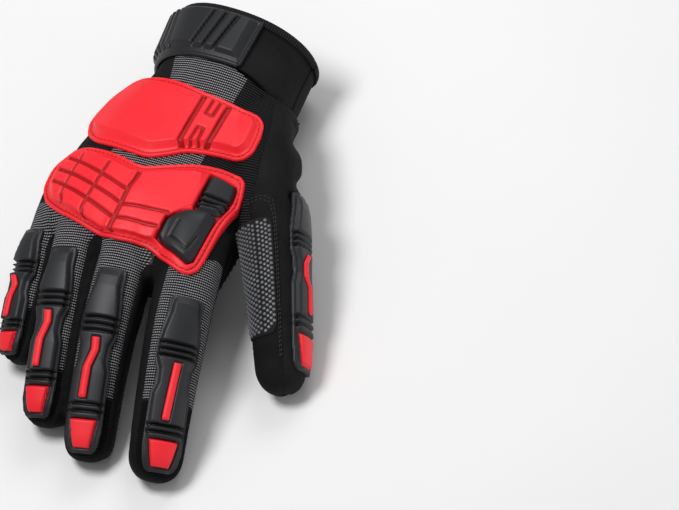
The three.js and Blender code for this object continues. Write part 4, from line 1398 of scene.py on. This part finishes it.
class Shader:
    def __init__(self, name):
        self.material = bpy.data.materials.new(name)
        self.material.use_nodes = True
        self.tree = self.material.node_tree
        self.surface = self.tree.nodes["Principled BSDF"]

    def node(self, kind, inputs=None, **settings):
        made = self.tree.nodes.new(kind)
        for key, value in settings.items():
            setattr(made, key, value)
        for key, value in (inputs or {}).items():
            self.feed(made.inputs[key], value)
        return made

    def feed(self, socket, value):
        if isinstance(value, bpy.types.NodeSocket):
            self.tree.links.new(value, socket)
        else:
            socket.default_value = value

    def math(self, operation, a, b=0.0):
        return self.node("ShaderNodeMath", {0: a, 1: b}, operation=operation).outputs[0]

    def add(self, a, b):
        return self.math("ADD", a, b)

    def times(self, a, b):
        return self.math("MULTIPLY", a, b)

    def wave(self, value, pitch):
        return self.math("SINE", self.times(value, 2 * math.pi / pitch))

    def step(self, value, low, high):
        made = self.node("ShaderNodeMapRange", {"Value": value, "From Min": low, "From Max": high},
                         interpolation_type="SMOOTHSTEP")
        return made.outputs["Result"]

    def mix(self, factor, a, b):
        made = self.node("ShaderNodeMix", data_type="RGBA")
        self.feed(made.inputs[0], factor)
        self.feed(made.inputs[6], a)
        self.feed(made.inputs[7], b)
        return made.outputs[2]

    def attribute(self, name):
        return self.node("ShaderNodeAttribute", attribute_name=name).outputs

    def cloth(self):
        return self.node("ShaderNodeSeparateXYZ", {0: self.attribute("weave")["Vector"]}).outputs

    def place(self):
        return self.node("ShaderNodeTexCoord").outputs["Object"]

    def noise(self, scale, detail=3.0):
        settings = {"Scale": scale, "Detail": detail, "Roughness": 0.55, "Vector": self.place()}
        return self.node("ShaderNodeTexNoise", settings).outputs["Fac"]

    def finish(self, base, roughness, bump=None, specular=0.5):
        self.feed(self.surface.inputs["Base Color"], base)
        self.feed(self.surface.inputs["Roughness"], roughness)
        self.surface.inputs["Specular IOR Level"].default_value = specular
        if bump:
            made = self.node("ShaderNodeBump", dict(zip(("Height", "Distance", "Strength"), bump)))
            self.feed(self.surface.inputs["Normal"], made.outputs["Normal"])
        return self.material


COURSE = 1.15
WALE = 0.98


# Knit with grey and black yarn; the third cloth coordinate is positive in the grey area, slightly
# negative in the black rows and below the plain limit where the fingertips are plain black
PLAIN_LIMIT = -60.0


def knit(name, dark, low, light):
    s = Shader(name)
    u, v, grey = s.cloth()
    drift = s.times(s.math("SUBTRACT", s.noise(60.0), 0.5), 1.2)
    course = s.wave(s.add(v, drift), COURSE)
    wale = s.wave(u, WALE)
    columns = s.add(s.times(s.step(wale, -0.7, 0.4), 0.86), 0.14)
    cloud = s.add(s.times(s.noise(260.0, 2.0), 0.5), 0.75)
    dash = s.times(s.times(s.step(course, -0.2, 0.6), columns), cloud)
    knitted = s.mix(dash, colour(dark), colour(low))
    base = s.mix(s.step(grey, PLAIN_LIMIT - 10, PLAIN_LIMIT), colour(dark), knitted)
    base = s.mix(s.times(dash, s.step(grey, -0.25, 0.25)), base, colour(light))
    rise = s.add(s.times(course, 0.5), 0.5)
    height = s.add(s.times(rise, s.add(s.times(wale, 0.25), 0.75)), s.times(s.noise(900.0, 2.0), 0.25))
    return s.finish(base, 0.95, (height, 0.0004, 0.9), 0.12)


def suede(name, code, worn):
    s = Shader(name)
    grain = s.noise(1400.0, 4.0)
    cloud = s.noise(55.0)
    patches = s.step(s.add(s.times(cloud, 0.7), s.times(grain, 0.3)), 0.35, 0.7)
    base = s.mix(patches, colour(code), colour(worn))
    height = s.add(s.times(grain, 0.5), s.times(cloud, 1.2))
    return s.finish(base, s.add(s.times(grain, 0.12), 0.8), (height, 0.0003, 0.8), 0.12)


def neoprene(name, code, worn):
    s = Shader(name)
    weave = s.node("ShaderNodeTexVoronoi", {"Scale": 1500.0, "Vector": s.place()}).outputs["Distance"]
    cloud = s.noise(40.0)
    base = s.mix(s.step(cloud, 0.3, 0.7), colour(code), colour(worn))
    height = s.add(weave, s.times(cloud, 1.5))
    return s.finish(base, s.add(s.times(weave, 0.2), 0.72), (height, 0.00022, 0.7), 0.15)


def rubber(name, code, shade, groove_shade_code, roughness):
    s = Shader(name)
    cloud = s.noise(30.0, 2.0)
    base = s.mix(s.step(cloud, 0.25, 0.75), colour(code), colour(shade))
    # Painted shade: where the groove attribute is high (grooves, stitch channels, pockets and rib cuts) the
    # colour goes to the darker groove shade colour
    base = s.mix(s.step(s.attribute("groove")["Fac"], 0.25, 0.8), base, colour(groove_shade_code))
    height = s.add(s.noise(2200.0, 2.0), s.times(cloud, 0.8))
    return s.finish(base, s.add(s.times(cloud, 0.12), roughness), (height, 0.00005, 0.6), 0.35)


def ribbed(name, code, light, pitch):
    s = Shader(name)
    across, along, _ = s.cloth()
    rise = s.add(s.times(s.wave(across, pitch), 0.5), 0.5)
    # Painted highlight and shade: the colour runs from the dark colour in the valleys between the ribs to
    # the light colour on their crests, along the same wave as the bump, with random tone from a noise
    base = s.mix(s.times(rise, s.add(s.times(s.noise(300.0), 0.5), 0.6)), colour(code), colour(light))
    height = s.add(rise, s.times(s.wave(along, 0.9), 0.15))
    return s.finish(base, 0.85, (height, 0.00035, 0.9), 0.15)


# The third cloth coordinate is one on the silicone dots and zero on the film under them
def dotted(name, film, film_light, silicone, silicone_light):
    s = Shader(name)
    on_dot = s.cloth()[2]
    grain = s.noise(1200.0)
    base = s.mix(on_dot, s.mix(grain, colour(film), colour(film_light)),
                 s.mix(s.noise(120.0), colour(silicone), colour(silicone_light)))
    return s.finish(base, s.math("SUBTRACT", 0.9, s.times(on_dot, 0.58)), (grain, 0.0001, 0.6), 0.4)


def thread(name, code, shade):
    s = Shader(name)
    twist = s.noise(2500.0, 2.0)
    return s.finish(s.mix(twist, colour(code), colour(shade)), 0.7, (twist, 0.0001, 0.7))


MATERIAL_VALUES = {
    "grey_knit": (knit, "#0a0a0b", "#343437", "#a8a8ac"),
    "black_knit": (neoprene, "#0c0c0d", "#131314"),
    "suede": (suede, "#121213", "#1d1d1f"),
    "neoprene": (neoprene, "#101011", "#1a1a1c"),
    # The third colour of each rubber is painted shade for its grooves, stitch channels, pockets and rib
    # cuts
    "red_rubber": (rubber, "#f4202d", "#fa2a36", "#a8040d", 0.42),
    "black_rubber": (rubber, "#202124", "#27282b", "#050506", 0.4),
    "binding": (ribbed, "#0c0c0d", "#2c2c2f", 1.15),
    "webbing": (ribbed, "#a3141f", "#e32b3a", 1.1),
    "grip": (dotted, "#09090a", "#131314", "#4c4d51", "#7a7b80"),
    "thread_black": (thread, "#242427", "#3a3a3e"),
    "thread_red": (thread, "#ff3a46", "#e2222e"),
}
MATERIALS = {}


# Adds a piece with its material, fixed to the root body, and hides the model parts it stands for
def dress(name, skin, material, nodes=()):
    obj = add_skin(name, skin)
    obj.data.materials.append(MATERIALS[material])
    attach(obj, "root")
    if nodes:
        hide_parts(*nodes)
    return obj


def thicken(obj, amount):
    solid = obj.modifiers.new("cloth", "SOLIDIFY")
    solid.thickness = amount * MM
    solid.offset = -1
    solid.use_rim = True
    return obj


def finger_nodes(side):
    return [f"finger_{side}_{name}" for name in LONG_FINGERS]


# What each body piece stands for, with its material and record slot
BODY_PIECES = {
    "back_knit": ("grey_knit", "grey_knit", ["back_panel", *finger_nodes("back")]),
    "palm_suede": ("suede", "suede", ["palm_panel", *finger_nodes("palm")]),
    "thumb_neoprene": ("neoprene", "neoprene", ["thumb_outer", "back_gusset"]),
    "thumb_inside": ("suede", "neoprene", ["thumb_inner"]),
    **{f"{node}_knit": ("black_knit", "black_knit", [node]) for node in SIDE_NODES},
}


def add_body(skin):
    for name, part in split_body(skin).items():
        material, slot, nodes = BODY_PIECES[name]
        shown = skin_of(part["co"], part["tri"], weave=part["f"]["weave"])
        thicken(dress(name, shown, material, nodes), CLOTH)


def add_plates(tree):
    hand_outline, knuckle_outline = (chaikin(outline, 2, 0.18) for outline in (HAND_PLATE, KNUCKLE_PLATE))
    hand_plate = relief(tree, hand_outline, hand_plate_shape, plate=hand_outline)
    dress("hand_plate", hand_plate, "red_rubber", ["hand_guard"])
    knuckle_plate = relief(tree, knuckle_outline, knuckle_plate_shape, plate=knuckle_outline)
    dress("knuckle_plate", knuckle_plate, "red_rubber", ["knuckle_guard"])
    for name, window, shape_of in (("upper", UPPER_WINDOW, upper_insert_shape),
                                   ("lower", LOWER_WINDOW, lower_insert_shape)):
        outline = drawn_in(chaikin(window, 1, 0.12), INSERT_GAP)
        insert = relief(tree, outline, shape_of, plate=knuckle_outline)
        dress(f"insert_{name}", insert, "black_rubber", [f"knuckle_insert_{name}"])
    for name, plate, outline in (("hand_plate", hand_plate, hand_outline),
                                 ("knuckle_plate", knuckle_plate, knuckle_outline)):
        thread_line = edge_stitches(plate, outline, CHANNEL_AT, 0.12)
        dress(f"{name}_stitches", thread_line, "thread_red")


def add_guards(tree):
    for name in FINGERS:
        dress(f"{name}_guard", finger_guard(name, tree), "black_rubber", [f"guard_{name}"])
        dress(f"{name}_guard_cap", guard_tip(name, tree), "red_rubber", [f"guard_tip_{name}"])
        dress(f"{name}_guard_stripe", guard_stripe(name, tree), "red_rubber", [f"guard_stripe_{name}"])


def add_palm(tree):
    dress("palm_grip", palm_grip(tree), "grip", ["grip_palm"])
    for name in FINGER_GRIPS:
        dress(f"{name}_grip", finger_grip(name, tree), "grip", [f"grip_{name}"])
    for name, (node, outline) in PAD_OUTLINES.items():
        outline = chaikin(outline, 2)
        form = flat_weave(relief(tree, outline, pad_shape, direction=1))
        pad = dress(name, form, "grip", [node])
        dress(f"{name}_dots", dots(*dots_under(tree_of(form), outline, 0.0)), "grip")
        dress(f"{name}_stitches", edge_stitches(form, outline, 1.0, 0.1, 1), "thread_black")


def add_wrist():
    dress("cuff_sleeve", ring_tube(CUFF_PROFILE, cuff_wave), "neoprene", ["cuff"])
    dress("cuff_edge", ring_tube(BINDING_PROFILE), "binding", ["cuff_binding"])
    dress("wrist_closure", closure(), "black_rubber", ["closure_tab"])
    dress("closure_stitches", closure_stitches(), "thread_black")
    tab = pull_tab()
    dress("webbing_tab", tab, "webbing", ["pull_tab"])
    dress("tab_stitches", tab_stitches(tab), "thread_black")


def add_finger_seams(tree):
    for name, (finger, rows) in FINGER_SEAMS.items():
        lines = [line_on_finger(finger, tree, row, -0.1) for row in rows]
        seam = joined([stitches(line, normals, SEAM_STITCH) for line, normals in lines])
        dress(f"{name}_stitches", seam, "thread_black")


def build_glove():
    for name, (make, *values) in MATERIAL_VALUES.items():
        MATERIALS[name] = make(name, *values)
    skin, tree = body_skin()
    add_body(skin)
    add_plates(tree)
    add_guards(tree)
    add_palm(tree)
    add_wrist()
    add_finger_seams(tree)


# Camera, floor and light
CAMERA_RIGHT = np.array((0.8754, 0.4226, -0.2346))
CAMERA_UP = np.array((-0.2241, 0.7849, 0.5777))
CAMERA_BACK = np.array((0.4282, -0.4532, 0.7818))
CAMERA_TARGET = np.array((0.0466, 0.0318, -0.0153))
CAMERA_DISTANCE = 6.0
CAMERA_LENS = 716.0
SENSOR = 36.0
FLOOR_HALF = 3.0
WORLD_STRENGTH = 0.27
LIGHT_AIM = np.array((-0.03, 0, 0.03))
# Lights: offsets from the aim along the camera's right, up and back, size and power
LIGHTS = {
    "key": ((-0.45, 0.45, 0.65), 0.35, 5.3),
    "fill": ((0.6, -0.1, 0.55), 0.5, 1.2),
    "top": ((0.1, 0.7, 0.2), 0.4, 1.2),
}


def linked(name, data):
    obj = bpy.data.objects.new(name, data)
    bpy.context.scene.collection.objects.link(obj)
    return obj


def place_camera():
    data = bpy.data.cameras.new("camera")
    data.sensor_width = SENSOR
    data.lens = CAMERA_LENS
    camera = linked("camera", data)
    place = Matrix(np.stack([CAMERA_RIGHT, CAMERA_UP, CAMERA_BACK], 1).tolist()).to_4x4()
    place.translation = Vector(CAMERA_TARGET + CAMERA_BACK * CAMERA_DISTANCE)
    camera.matrix_world = place
    bpy.context.scene.camera = camera


def area_light(name, place, aim, size, power):
    data = bpy.data.lights.new(name, "AREA")
    data.shape = "DISK"
    data.size = size
    data.energy = power
    light = linked(name, data)
    light.location = place
    light.rotation_mode = "QUATERNION"
    light.rotation_quaternion = (Vector(aim) - Vector(place)).to_track_quat("-Z", "Y")


def build_stage():
    bpy.context.scene.view_settings.view_transform = "Standard"
    corners = FLOOR_HALF * np.array([(-1, -1, 0), (1, -1, 0), (1, 1, 0), (-1, 1, 0)])
    floor = new_object("floor", corners, np.array([[0, 1, 2, 3]]))
    s = Shader("pale_floor")
    floor.data.materials.append(s.finish(s.mix(s.noise(8.0), colour("#f3f3f3"), colour("#f7f7f7")), 0.9))
    world = bpy.data.worlds.new("studio")
    world.use_nodes = True
    background = world.node_tree.nodes["Background"]
    background.inputs["Color"].default_value = (1, 1, 1, 1)
    background.inputs["Strength"].default_value = WORLD_STRENGTH
    bpy.context.scene.world = world
    aim = CAMERA_TARGET + LIGHT_AIM
    for name, ((right, up, back), size, power) in LIGHTS.items():
        place = aim + CAMERA_RIGHT * right + CAMERA_UP * up + CAMERA_BACK * back
        area_light(name, place.tolist(), aim.tolist(), size, power)


def main():
    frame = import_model()
    build_glove()
    build_stage()
    place_camera()


main()
